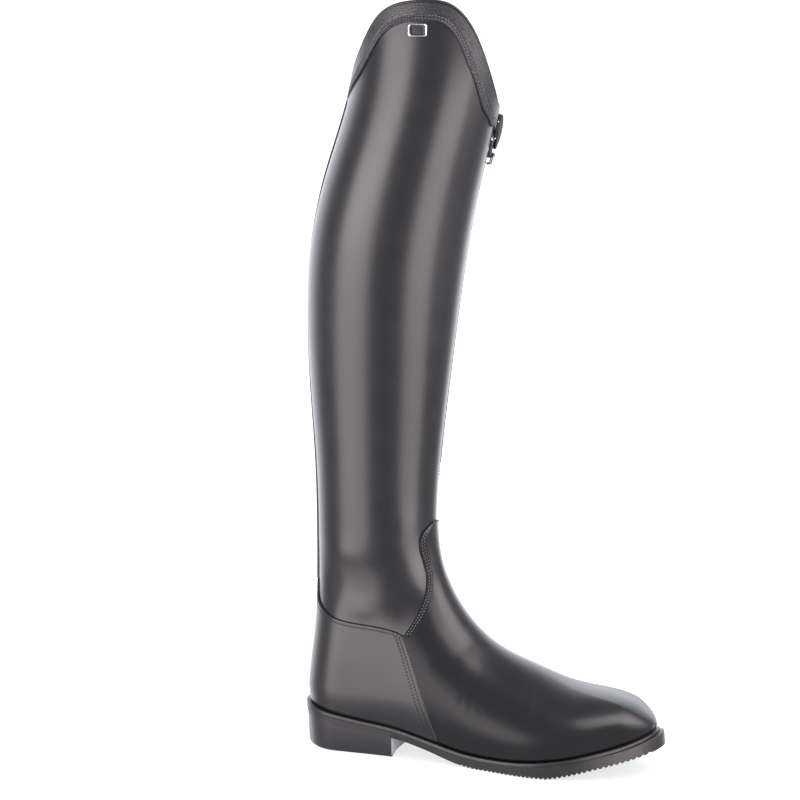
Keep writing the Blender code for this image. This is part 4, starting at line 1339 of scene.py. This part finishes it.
@dataclass
class Zip:
    """Coil zip on the inner side with its slider, hanging pull and guard tab."""

    last: Last
    wardrobe: Wardrobe
    turn: float = 208.0
    foot: float = 205.0
    tape_half: float = 5.0
    tape_levels: tuple[float, float] = (-0.95, -0.7)
    slider_z: float = 432.0
    pull_drop: float = 4.0
    pull_out: float = 4.7
    wire: float = 0.55
    wire_bend: float = 0.85
    coil: Row = Row(1.35, 0.8, 3.1, 1.3)
    coil_shift: float = 0.75
    coil_sunk: float = 0.25
    facing_sink: float = 1.2
    facing_ease: float = 14.0
    slider_half: float = 4.2
    bridge_half: float = 1.3
    bridge_radius: float = 1.75
    bridge_foot: tuple[float, float] = (2.6, 2.4)
    eye_gap: float = 0.3
    tab_half: float = 6.0
    # out, up of the press studs' pins and caps
    pin_places: Table = ((1.9, 20.2), (2.3, 8.2))
    cap_places: Table = ((5.95, 18.0), (5.75, 6.5))
    stitch: Row = Row(2.3, 1.6, 0.78, 0.7)
    facing_stitch: float = 4.8
    tab_stitch: float = 4.6
    # across, out
    facing: Table = (
        (2.6, -0.6), (2.62, 0.1), (2.85, 0.36), (3.2, 0.42), (4.2, 0.34), (5.0, 0.2), (5.6, 0.12),
        (6.4, 0.02), (7.2, -0.12), (7.4, -0.3), (5.3, -0.6),
    )
    # out, up
    slider_body: Table = (
        (0.2, -6.2), (2.4, -6.2), (2.9, -5.6), (3.1, -2.0), (3.1, 3.4), (2.8, 5.6), (2.2, 6.2), (0.2, 6.2),
    )
    # across, out, up of the bent wire's corners
    wire_corners: Table = (
        (-2.9, 0.0, 0.0), (2.9, 0.0, 0.0), (2.9, 0.0, -6.1), (2.9, -2.6, -6.7), (-2.9, -2.6, -6.7),
        (-2.9, 0.0, -6.1),
    )
    # out, up
    tab_section: Table = (
        (2.0, 25.6), (3.6, 25.8), (4.6, 25.2), (5.2, 23.0), (5.6, 21.0), (6.1, 17.5), (6.2, 14.0),
        (6.1, 10.0), (5.8, 6.0), (5.3, 2.8), (4.9, 0.9), (4.4, 0.4), (3.7, 0.7), (3.5, 3.0), (3.4, 6.4),
        (2.2, 7.6), (1.5, 9.0), (1.4, 14.0), (1.3, 19.0), (1.4, 23.5),
    )
    tab_line: Table = (
        (4.8, 24.0), (5.45, 21.0), (5.95, 17.5), (6.1, 14.0), (6.0, 10.0), (5.7, 6.0), (5.2, 2.8),
    )
    # radius, height
    pin_dome: Table = ((0.62, -0.3), (0.62, 0.1), (0.5, 0.3), (0.25, 0.42), (0.02, 0.45))
    cap_dome: Table = ((2.8, -0.25), (3.0, 0.0), (2.8, 0.34), (2.2, 0.66), (1.2, 0.86), (0.02, 0.9))

    def build(self) -> list[Piece]:
        """Builds the zip's pieces."""
        self.place = [v[0] for v in self.last.wall_frame(self.turn, np.array([self.slider_z]))]
        return [self.chain(), self.coils(), self.facings(), self.slider(), self.pull(), self.tab(),
                self.studs()]

    def _at(self, across: float, out: float, up: float) -> Array:
        """A place beside the slider."""
        point, level, away, rise = self.place
        return point + level * across + away * out + rise * up

    def _up_the_zip(self, low: float, high: float, steps: int = 110) -> tuple[Array, Array, Array, Array]:
        """Heights along the zip with the places on the wall there, the way across and the way out."""
        heights = np.linspace(low, self.last.rim(self.turn) - high, steps)
        return heights, *self.last.wall_frame(self.turn, heights)[:3]

    def chain(self) -> Piece:
        """The woven tape that carries the coils."""
        _, here, across, out = self._up_the_zip(self.foot, 1.5)
        half, (under, over) = self.tape_half, self.tape_levels
        profile = ((half, under), (half, over), (-half, over), (-half, under))
        rings = np.array([here + across * a + out * o for a, o in profile]).transpose(1, 0, 2)
        return tie(settle(put("zip_tape", lofted("zip_tape", rings), self.wardrobe.tape), 35.0),
                   "zip_chain")

    def coils(self) -> Piece:
        """Both coils, closed into each other."""
        paths = []
        for sign, later in ((1.0, 0.0), (-1.0, self.coil.pitch / 2.0)):
            _, here, across, out = self._up_the_zip(self.foot + 3.0 + later, 2.0, 200)
            paths.append((here + across * sign * self.coil_shift - out * self.coil_sunk, out))
        return self.coil.lay("zip_coils", paths, self.wardrobe.tape)

    def facings(self) -> Piece:
        """Folded leather edges beside the zip, with a stitch row in each."""
        heights, here, across, out = self._up_the_zip(self.foot - 6.0, 13.0)
        sink = self.facing_sink * (1.0 - ease((heights - heights[0]) / self.facing_ease))[:, None]
        strips, paths = [], []
        for sign in (1.0, -1.0):
            profile = self.facing if sign > 0 else self.facing[::-1]
            rings = np.array([here + across * a * -sign + out * (o - sink) for a, o in profile])
            strips.append(put("zip_facings", lofted("facing", rings.transpose(1, 0, 2)), self.wardrobe.calf))
            paths.append((here + across * sign * self.facing_stitch + out * 0.05, out))
        obj = tie(settle(join("zip_facings", strips)))
        self.stitch.lay("zip_stitches", paths, self.wardrobe.thread)
        return obj

    def _block(self, name: str, profile: Table, half: float, *finishes: Material) -> Piece:
        """A body with the given section of out and up, level across the zip.

        Args:
            name: Name of the body.
            profile: Its section.
            half: Half its width.
            *finishes: Its finishes.

        Returns:
            The body.
        """
        rings = np.array([[self._at(a, o, u) for o, u in profile] for a in (half, -half)])
        return put(name, lofted(name, rings), *finishes)

    def slider(self) -> Piece:
        """Slider body with its bridge."""
        metal = self.wardrobe.dark_metal
        obj = self._block("zip_slider_body", self.slider_body, self.slider_half, metal)
        centre = (self.pull_out, -self.pull_drop)
        out, up = self.bridge_foot
        bow = arc(centre, self.bridge_radius, -80.0, 80.0, 12)
        bridge = [(out, -up - self.pull_drop), *bow, (out, up - self.pull_drop)]
        top = self._block("zip_bridge", bridge, self.bridge_half, metal)
        eye = self._block("zip_eye", arc(centre, self.wire + self.eye_gap, 0.0, 345.0, 24), 6.0)
        for tool, kind in ((top, "UNION"), (eye, "DIFFERENCE")):
            cut = obj.modifiers.new(tool.name, "BOOLEAN")
            cut.operation = kind
            cut.solver = "EXACT"
            cut.object = tool
        round_edges(obj, 0.25, 2)
        settle(obj, 45.0)
        for tool in (top, eye):
            bpy.data.objects.remove(tool)
        return tie(obj, "zip_slider")

    def pull(self) -> Piece:
        """The bent wire that hangs in the slider's eye."""
        route = []
        corners = np.array(self.wire_corners)
        for before, corner, after in zip(np.roll(corners, 1, axis=0), corners, np.roll(corners, -1, axis=0)):
            start = corner + unit(before - corner) * self.wire_bend
            end = corner + unit(after - corner) * self.wire_bend
            for t in np.linspace(0.0, 1.0, 6):
                route.append((1 - t) ** 2 * start + 2 * t * (1 - t) * corner + t**2 * end)
        places = np.array([self._at(a, self.pull_out + o, u - self.pull_drop) for a, o, u in route])
        obj = put("pull_wire", ring_tube("pull_wire", places, self.wire, 12), self.wardrobe.wire_nickel)
        return tie(obj, "zip_pull", PULL_BODY)

    def tab(self) -> Piece:
        """Leather tab from the collar over the top of the zip, bent out over its press stud."""
        obj = self._block("guard_tab", self.tab_section, self.tab_half, self.wardrobe.edging)
        round_edges(obj, 0.45, 3, 60.0)
        tie(settle(obj, 50.0), "zip_guard_tab")
        outs = np.repeat(self.place[2][None], len(self.tab_line), axis=0)
        paths = [(np.array([self._at(a, o + 0.05, u) for o, u in self.tab_line]), outs)
                 for a in (-self.tab_stitch, self.tab_stitch)]
        self.stitch.lay("tab_stitches", paths, self.wardrobe.thread)
        return obj

    def studs(self) -> Piece:
        """Two press studs that hold the tab: caps outside, with their posts' rims showing at the side."""
        pieces = []
        circle = np.linspace(0.0, 2.0 * np.pi, 12, endpoint=False)
        for out, up in self.pin_places:
            rings = np.array([[self._at(self.tab_half + h, out + r * math.sin(a), up + r * math.cos(a))
                               for a in circle] for r, h in self.pin_dome])
            pieces.append(put("stud_pin", lofted("stud_pin", rings), self.wardrobe.nickel))
        circle = np.linspace(0.0, 2.0 * np.pi, 24, endpoint=False)
        for out, up in self.cap_places:
            rings = np.array([[self._at(r * math.cos(a), out + h, up + r * math.sin(a)) for a in circle]
                              for r, h in self.cap_dome])
            pieces.append(put("stud", lofted("stud", rings[:, ::-1]), self.wardrobe.dark_metal))
        return tie(settle(join("tab_studs", pieces), 50.0))


@dataclass
class Badge:
    """Plain nickel plate with a raised rim, below the top of the collar."""

    last: Last
    wardrobe: Wardrobe
    turn: float = 96.0
    z: float = 518.5
    half: tuple[float, float] = (6.6, 4.3)
    corner: float = 1.6
    # share of the outline, height
    profile: Table = (
        (1.0, 0.3), (1.0, 1.2), (0.985, 1.55), (0.95, 1.72), (0.9, 1.72), (0.86, 1.6), (0.83, 1.3),
        (0.79, 1.22), (0.5, 1.3), (0.2, 1.34),
    )
    field_from: int = 6

    def build(self) -> Piece:
        """Builds the plate, bright with a dark field."""
        point, across, out, _ = (v[0] for v in self.last.wall_frame(self.turn, np.array([self.z])))
        up = unit(np.cross(out, across))
        up = up if up[2] > 0.0 else -up
        outline = []
        for turn, signs in zip((0.0, 90.0, 180.0, 270.0), ((1, 1), (-1, 1), (-1, -1), (1, -1))):
            centre = [sign * (half - self.corner) for sign, half in zip(signs, self.half)]
            outline += arc(centre, self.corner, turn, turn + 90.0, 8)
        flat = np.array(outline)
        spread = up * flat[:, 1:] - across * flat[:, :1]
        rings = np.array([point + spread * share + out * height for share, height in self.profile])
        obj = put("collar_plate", lofted("collar_plate", rings[:, ::-1]), self.wardrobe.nickel,
                  self.wardrobe.dark_metal)
        for face in obj.data.polygons:
            face.material_index = int(min(face.vertices) >= len(flat) * self.field_from)
        return tie(settle(obj, 60.0), "badge_plate")


# Sole


@dataclass
class SoleUnit:
    """Welt plate, ridged outsole and heel block."""

    last: Last
    wardrobe: Wardrobe
    back: float = 1.0
    tip: float = 264.5
    lip: float = 3.2
    plate: float = 2.6
    plate_tip_back: float = 3.0
    seat_depth: float = 7.3
    breast_x: float = 75.5
    breast_hollow: float = 3.0
    tread_start: float = 128.0
    tread_end: float = 262.0
    tread_pitch: float = 3.3
    tread_land: float = 1.3
    tread_depth: float = 1.4
    ground_start: float = 140.0
    ground_end: float = 195.0
    heel_bevel_length: float = 26.0
    heel_bevel_height: float = 2.6
    gap: float = 0.1
    end_steps: int = 22
    even_step: float = 3.0
    # How far the toe's edge flares, from where and over which length.
    flare: tuple[float, float, float] = (1.5, 200.0, 50.0)
    shank_length: float = 6.0
    breast_points: int = 24
    # x, z of the underside before and after the stretch on the floor
    arch: Table = ((70, 14.9), (80, 13.4), (90, 11.3), (105, 7.6), (118, 3.9), (130, 1.1), (140, 0.0))
    spring: Table = ((195, 0.0), (207, 2.2), (226, 7.0), (245, 11.6), (264.5, 17.2))

    def __post_init__(self) -> None:
        """Solves the underside's splines."""
        self.arch_at, = columns(self.arch)
        self.spring_at, = columns(self.spring)

    def build(self) -> list[Piece]:
        """Builds the sole's pieces and dresses the insole."""
        insole = frame["nodes"]["insole"]
        insole.data.materials.clear()
        insole.data.materials.append(self.wardrobe.lining)
        return [self.welt(), self.outsole(), self.heel()]

    def seat(self, x: Array) -> Array:
        """Height of the flat seat on the heel block."""
        return self.last.sole_top_at(x) - self.seat_depth

    def underside(self, x: Array) -> Array:
        """Height of the outsole's underside with its tread: a flat land and a sharp groove in every pitch."""
        ahead = np.where(x > self.ground_end, self.spring_at(x), 0.0)
        bare = np.where(x < self.ground_start, self.arch_at(x), ahead)
        low = np.where(x <= self.breast_x + 4.0, self.seat(x), bare)
        phase = (x - self.tread_start) % self.tread_pitch
        groove = (x >= self.tread_start) & (x <= self.tread_end) & (phase > self.tread_land)
        half = (self.tread_pitch - self.tread_land) / 2.0
        depth = self.tread_depth * np.clip(1.0 - np.abs(phase - self.tread_land - half) / half, 0.0, 1.0)
        return low + np.where(groove, depth, 0.0)

    def stations(self, back: float, tip: float, fine: bool = False) -> Array:
        """Places along the sole, close together at its round ends and, if wanted, in the tread.

        Args:
            back: x of the outline's back.
            tip: x of its tip.
            fine: Whether the tread's lands and grooves have places of their own.

        Returns:
            The places, rising.
        """
        close = 1.0 - np.cos(np.radians(90.0 * (np.arange(self.end_steps) + 0.12) / self.end_steps))
        heel, toe = back + self.last.heel_round * close, tip - self.last.toe_round * close
        places = [heel, toe, np.arange(heel[-1] + self.even_step / 2.0, toe[-1] - 1.0, self.even_step)]
        if fine:
            land = np.array([0.0, self.tread_land, (self.tread_land + self.tread_pitch) / 2.0])
            for k in range(int((self.tread_end - self.tread_start) / self.tread_pitch)):
                places.append(self.tread_start + k * self.tread_pitch + land)
        found = np.sort(np.concatenate(places))
        return found[np.concatenate([[True], np.diff(found) > 0.004])]

    def loop(self, xs: Array, back: float, tip: float) -> Pair:
        """The sole's outline as a loop, from the heel over the outer side to the toe and back.

        Args:
            xs: Places along the sole.
            back: x of the outline's back.
            tip: x of its tip.

        Returns:
            Places and directions outward, both flat, each side's in the order of xs.
        """
        ends = round_end((xs - back) / self.last.heel_round) * round_end((tip - xs) / self.last.toe_round)
        swing = self.last.swing(xs)
        outer = np.stack([xs, swing - (self.last.feather_outer(xs) + self.lip) * ends], axis=-1)
        inner = np.stack([xs, swing + (self.last.feather_inner(xs) + self.lip) * ends], axis=-1)
        places = np.concatenate([outer, inner[::-1]])
        way = beside(places)
        return places, unit(np.stack([way[:, 1], -way[:, 0]], axis=-1))

    def body(self, name: str, xs: Array, tip: float,
             levels: Callable[[Array], Sequence[tuple[Array, Array]]]) -> Mesh:
        """A closed plate with the sole's outline.

        Args:
            name: Name of the mesh.
            xs: Places along the sole.
            tip: x of the outline's tip.
            levels: Gives the growth of the outline and the heights at places, from the bottom up.

        Returns:
            The mesh.
        """
        places, outward = self.loop(xs, self.back, tip)
        count, around = len(xs), 2 * len(xs)
        rings = []
        for grow, height in levels(places[:, 0]):
            spread = np.broadcast_to(grow, (around,))
            rings.append(np.column_stack([places + outward * spread[:, None], height]))
        faces = grid_faces(len(rings), around, True)
        last = (len(rings) - 1) * around
        for k in range(count - 1):
            mirror = around - 1 - k
            faces.append((k + 1, k, mirror, mirror - 1))
            faces.append((last + k, last + k + 1, last + mirror - 1, last + mirror))
        return as_mesh(name, np.concatenate(rings), faces)

    def welt(self) -> Piece:
        """The plate whose top edge stands out round the leather."""

        def levels(x: Array) -> list[tuple[float, Array]]:
            """Growth and heights from the bottom up, with a rounded top edge."""
            top = self.last.sole_top_at(x)
            low = top - self.plate
            return [(-4.0, low), (-0.25, low), (0.0, low + 0.25), (0.0, top - 0.8), (-0.12, top - 0.42),
                    (-0.38, top - 0.14), (-0.8, top), (-2.4, top), (-6.0, top)]

        tip = self.tip - self.plate_tip_back
        mesh = self.body("welt_plate", self.stations(self.back, tip), tip, levels)
        return self._finish("welt_plate", mesh, self.wardrobe.welt_rubber, "midsole")

    def outsole(self) -> Piece:
        """The ridged outsole, thin over the heel and thick at the toe."""

        def levels(x: Array) -> list[tuple[Array, Array]]:
            """Growth and heights from the tread up; the toe's edge flares, the waist's is drawn in less."""
            top = self.last.sole_top_at(x) - self.plate - self.gap
            low = self.underside(x)
            most, start, length = self.flare
            flare = most * ease((x - start) / length)
            shank = 1.0 - ease((x - self.breast_x) / self.shank_length)
            return [(flare - 7.0, low), (flare - 1.1 + 0.75 * shank, low),
                    (flare - 0.75 + 0.41 * shank, low + 0.2), (0.0, top - 0.4), (-0.3, top), (-6.0, top)]

        mesh = self.body("ridged_outsole", self.stations(self.back, self.tip, True), self.tip, levels)
        return self._finish("ridged_outsole", mesh, self.wardrobe.sole_rubber, "outsole")

    def heel(self) -> Piece:
        """The heel block with its hollow breast."""
        xs = self.stations(self.back + 0.5, self.tip)
        xs = xs[xs < self.breast_x - 0.4]
        places, outward = self.loop(np.append(xs, self.breast_x), self.back + 0.5, self.tip)
        count = len(xs) + 1
        outward[[count - 1, count]] = outward[[count - 2, count + 1]]
        share = np.linspace(0.0, 1.0, self.breast_points + 2)[1:-1]
        # growth of the outline, rise over the floor or, where high, over the block's top
        levels = ((-4.0, 0.0, False), (-1.7, 0.0, False), (-1.35, 0.25, False), (-1.2, 0.7, False),
                  (-0.35, 0.05, True), (-4.0, 0.05, True))
        rings = []
        for grow, rise, high in levels:
            flat = places + outward * grow
            flat[:, 0] = np.minimum(flat[:, 0], self.breast_x)
            bevel = np.maximum(0.0, 1.0 - (flat[:, 0] - self.back) / self.heel_bevel_length) ** 1.5
            height = self.seat(flat[:, 0]) - self.gap if high else self.heel_bevel_height * bevel
            sides = np.column_stack([flat, height + rise])
            start, end = sides[count - 1], sides[count]
            breast = start + (end - start) * share[:, None]
            breast[:, 0] -= self.breast_hollow * (1.0 - (2.0 * share - 1.0) ** 2)
            rings.append(np.concatenate([sides[:count], breast, sides[count:]]))
        mesh = lofted("heel_block", np.array(rings))
        return self._finish("heel_block", mesh, self.wardrobe.heel_rubber, "heel")

    def _finish(self, name: str, mesh: Mesh, finish: Material, node: str) -> Piece:
        """Dresses a sole piece and ties it to the frame."""
        return tie(settle(put(name, mesh, finish), 30.0), node)


# Studio


class Lights(Enum):
    """Which pieces a softbox reaches past its flags."""

    ALL = "all"
    NOT_VAMP = "not the vamp"
    ONLY_VAMP = "only the vamp"


@dataclass(frozen=True)
class Softbox:
    """A soft light on a circle about the boot, turned to face it."""

    name: str
    turn: float
    distance: float
    middle_z: float
    width: float
    height: float
    radiance: float
    lights: Lights = Lights.ALL
    tilt: float = 0.0
    spread: float = 150.0


@dataclass
class Studio:
    """Pale floor, white surround, softboxes and the camera at the photo's angle."""

    turn: float = 20.0
    target: tuple[float, float, float] = (62.5, 22.5, 249.0)
    ground_distance: float = 2200.0
    eye_height: float = 672.0
    mm_per_pixel: float = 0.716
    frame_pixels: int = 800
    sensor: float = 36.0
    surround: float = 0.62
    backdrop_turn: float = 8.0
    backdrop: float = 2.6
    floor_glow: float = 0.72
    floor_reach: float = 30.0
    warmth: tuple[float, float, float] = (1.0, 0.92, 0.94)
    room_tint: tuple[float, float, float] = (0.93, 0.95, 1.0)
    softboxes: tuple[Softbox, ...] = (
        Softbox("left_low_softbox", -52.0, 760.0, 40.0, 640.0, 520.0, 3.5, Lights.NOT_VAMP),
        Softbox("left_high_softbox", -52.0, 760.0, 440.0, 640.0, 280.0, 5.4, Lights.NOT_VAMP),
        Softbox("right_low_softbox", 44.0, 900.0, -165.0, 640.0, 370.0, 2.9, Lights.NOT_VAMP),
        Softbox("right_high_softbox", 43.0, 900.0, 180.0, 640.0, 320.0, 4.6, Lights.NOT_VAMP),
        Softbox("vamp_softbox", -48.0, 760.0, 0.0, 520.0, 300.0, 1.5, Lights.ONLY_VAMP),
        Softbox("toe_low_softbox", 74.0, 1000.0, 240.0, 700.0, 360.0, 1.2),
        Softbox("toe_high_softbox", 74.0, 1000.0, 960.0, 760.0, 1080.0, 3.0, tilt=-15.0, spread=130.0),
        Softbox("upper_softbox", 36.0, 1000.0, 1150.0, 800.0, 900.0, 2.4, tilt=-35.0, spread=140.0),
    )

    def build(self, vamp: Piece) -> None:
        """Builds the whole studio, with plain sRGB colours so that white stays white.

        Args:
            vamp: The piece that flags keep out of the side softboxes, with a dim one of its own.
        """
        bpy.context.scene.view_settings.view_transform = "Standard"
        self.camera()
        floor = self.floor()
        self.world()
        flagged = {Lights.ALL: (floor,), Lights.NOT_VAMP: (floor, vamp), Lights.ONLY_VAMP: (vamp,)}
        for box in self.softboxes:
            light = self.softbox(box)
            flag = bpy.data.collections.new(box.name + "_flag")
            for piece in flagged[box.lights]:
                flag.objects.link(piece)
            for held in flag.collection_objects:
                held.light_linking.link_state = "INCLUDE" if box.lights is Lights.ONLY_VAMP else "EXCLUDE"
            light.light_linking.receiver_collection = flag

    def _toward(self, turn: float) -> Array:
        """Level direction from the boot, by the turn from the camera's side to the right."""
        angle = math.radians(self.turn + turn)
        return np.array([math.sin(angle), -math.cos(angle), 0.0])

    def _hang(self, name: str, data: bpy.types.ID, place: Array, aim: Array) -> Piece:
        """Links a camera or light at a place in millimetres, facing along aim."""
        obj = put(name, data)
        obj.location = world(place)
        obj.rotation_euler = Vector(aim).to_track_quat("-Z", "Y").to_euler()
        return obj

    def camera(self) -> None:
        """Puts the camera where the photo was taken from."""
        target = np.array(self.target)
        eye = target + self._toward(0.0) * self.ground_distance
        eye[2] = self.eye_height
        data = bpy.data.cameras.new("photo_camera")
        data.sensor_width = self.sensor
        data.lens = float(np.linalg.norm(eye - target)) / self.mm_per_pixel / self.frame_pixels * self.sensor
        data.clip_end = 100.0
        bpy.context.scene.camera = self._hang("photo_camera", data, eye, world(target) - world(eye))

    def _by_direction(self, tree: bpy.types.NodeTree, way: bpy.types.NodeSocket, turn: float, **span: float
                      ) -> bpy.types.NodeSocket:
        """A value that changes smoothly along a level direction.

        Args:
            tree: The tree that it goes in.
            way: Place or direction that is measured.
            turn: Turn of the level direction, from the camera's side.
            **span: The two measures and the two values, as a Map Range names them.

        Returns:
            The value's socket.
        """
        facing = add_node(tree, "ShaderNodeVectorMath", {"operation": "DOT_PRODUCT"}, in0=way,
                          in1=tuple(self._toward(turn)))
        mapped = add_node(tree, "ShaderNodeMapRange", {"interpolation_type": "SMOOTHSTEP"},
                          Value=facing.outputs["Value"], **span)
        return mapped.outputs["Result"]

    def floor(self) -> Piece:
        """A wide pale floor that glows behind the boot."""
        _, shader, place, finish = Finish("studio_floor", "#f0f0f0", 0.9).start()
        glow = self._by_direction(finish.node_tree, place, 0.0, From_Min=0.2, From_Max=0.5,
                                  To_Min=self.floor_glow, To_Max=0.0)
        connect(shader, Emission_Color=linear("#ffffff"), Emission_Strength=glow)
        mesh = bpy.data.meshes.new("studio_floor")
        reach = self.floor_reach
        square = ((-reach, -reach, 0.0), (reach, -reach, 0.0), (reach, reach, 0.0), (-reach, reach, 0.0))
        mesh.from_pydata(square, [], [(0, 1, 2, 3)])
        obj = put("studio_floor", mesh, finish)
        # Kept out of reflections and shadows, so that the leather mirrors the light below the sole's level.
        obj.visible_glossy = False
        obj.visible_shadow = False
        obj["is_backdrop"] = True
        return obj

    def world(self) -> None:
        """A dim room in front and a bright backdrop behind the boot."""
        surround = bpy.data.worlds.new("white_surround")
        surround.use_nodes = True
        tree = surround.node_tree
        way = add_node(tree, "ShaderNodeTexCoord").outputs["Generated"]
        strength = self._by_direction(tree, way, self.backdrop_turn, From_Min=-0.5, From_Max=-0.8,
                                      To_Min=self.surround, To_Max=self.backdrop)
        connect(tree.nodes["Background"], Color=(*self.room_tint, 1.0), Strength=strength)
        bpy.context.scene.world = surround

    def softbox(self, box: Softbox) -> Piece:
        """One softbox, facing the boot's middle line, tipped up where it has a tilt."""
        data = bpy.data.lights.new(box.name, "AREA")
        data.spread = math.radians(box.spread)
        data.color = self.warmth
        data.shape = "RECTANGLE"
        data.size = box.width * MM
        data.size_y = box.height * MM
        data.energy = box.radiance * math.pi * data.size * data.size_y
        out = self._toward(box.turn)
        middle = np.array([self.target[0], self.target[1], box.middle_z])
        aim = -out + np.array([0.0, 0.0, math.tan(math.radians(box.tilt))])
        obj = self._hang(box.name, data, middle + out * box.distance, aim)
        obj.visible_camera = False
        return obj


def corners(bounds: Any) -> list[list[float]]:
    """A box as plain lists of numbers."""
    return [[round(float(v), 6) for v in corner] for corner in bounds]


def main() -> None:
    """Builds the boot's look in order and reports each piece."""
    logging.basicConfig(level=logging.INFO, format="%(name)s: %(message)s")
    cad_box = corners(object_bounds())
    last = Last()
    wardrobe = Wardrobe()
    made = Leather(last, Cutter(last), wardrobe).build()
    made += Zip(last, wardrobe).build()
    made.append(Badge(last, wardrobe).build())
    made += SoleUnit(last, wardrobe).build()
    Studio().build(next(piece for piece in made if piece.name == "vamp_front"))
    for piece in made:
        LOG.info("%s: %d faces", piece.name, len(piece.data.polygons))
    bpy.context.view_layer.update()
    json.dumps({"cad": cad_box, "visual": corners(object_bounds())})


if __name__ == "__main__":
    main()
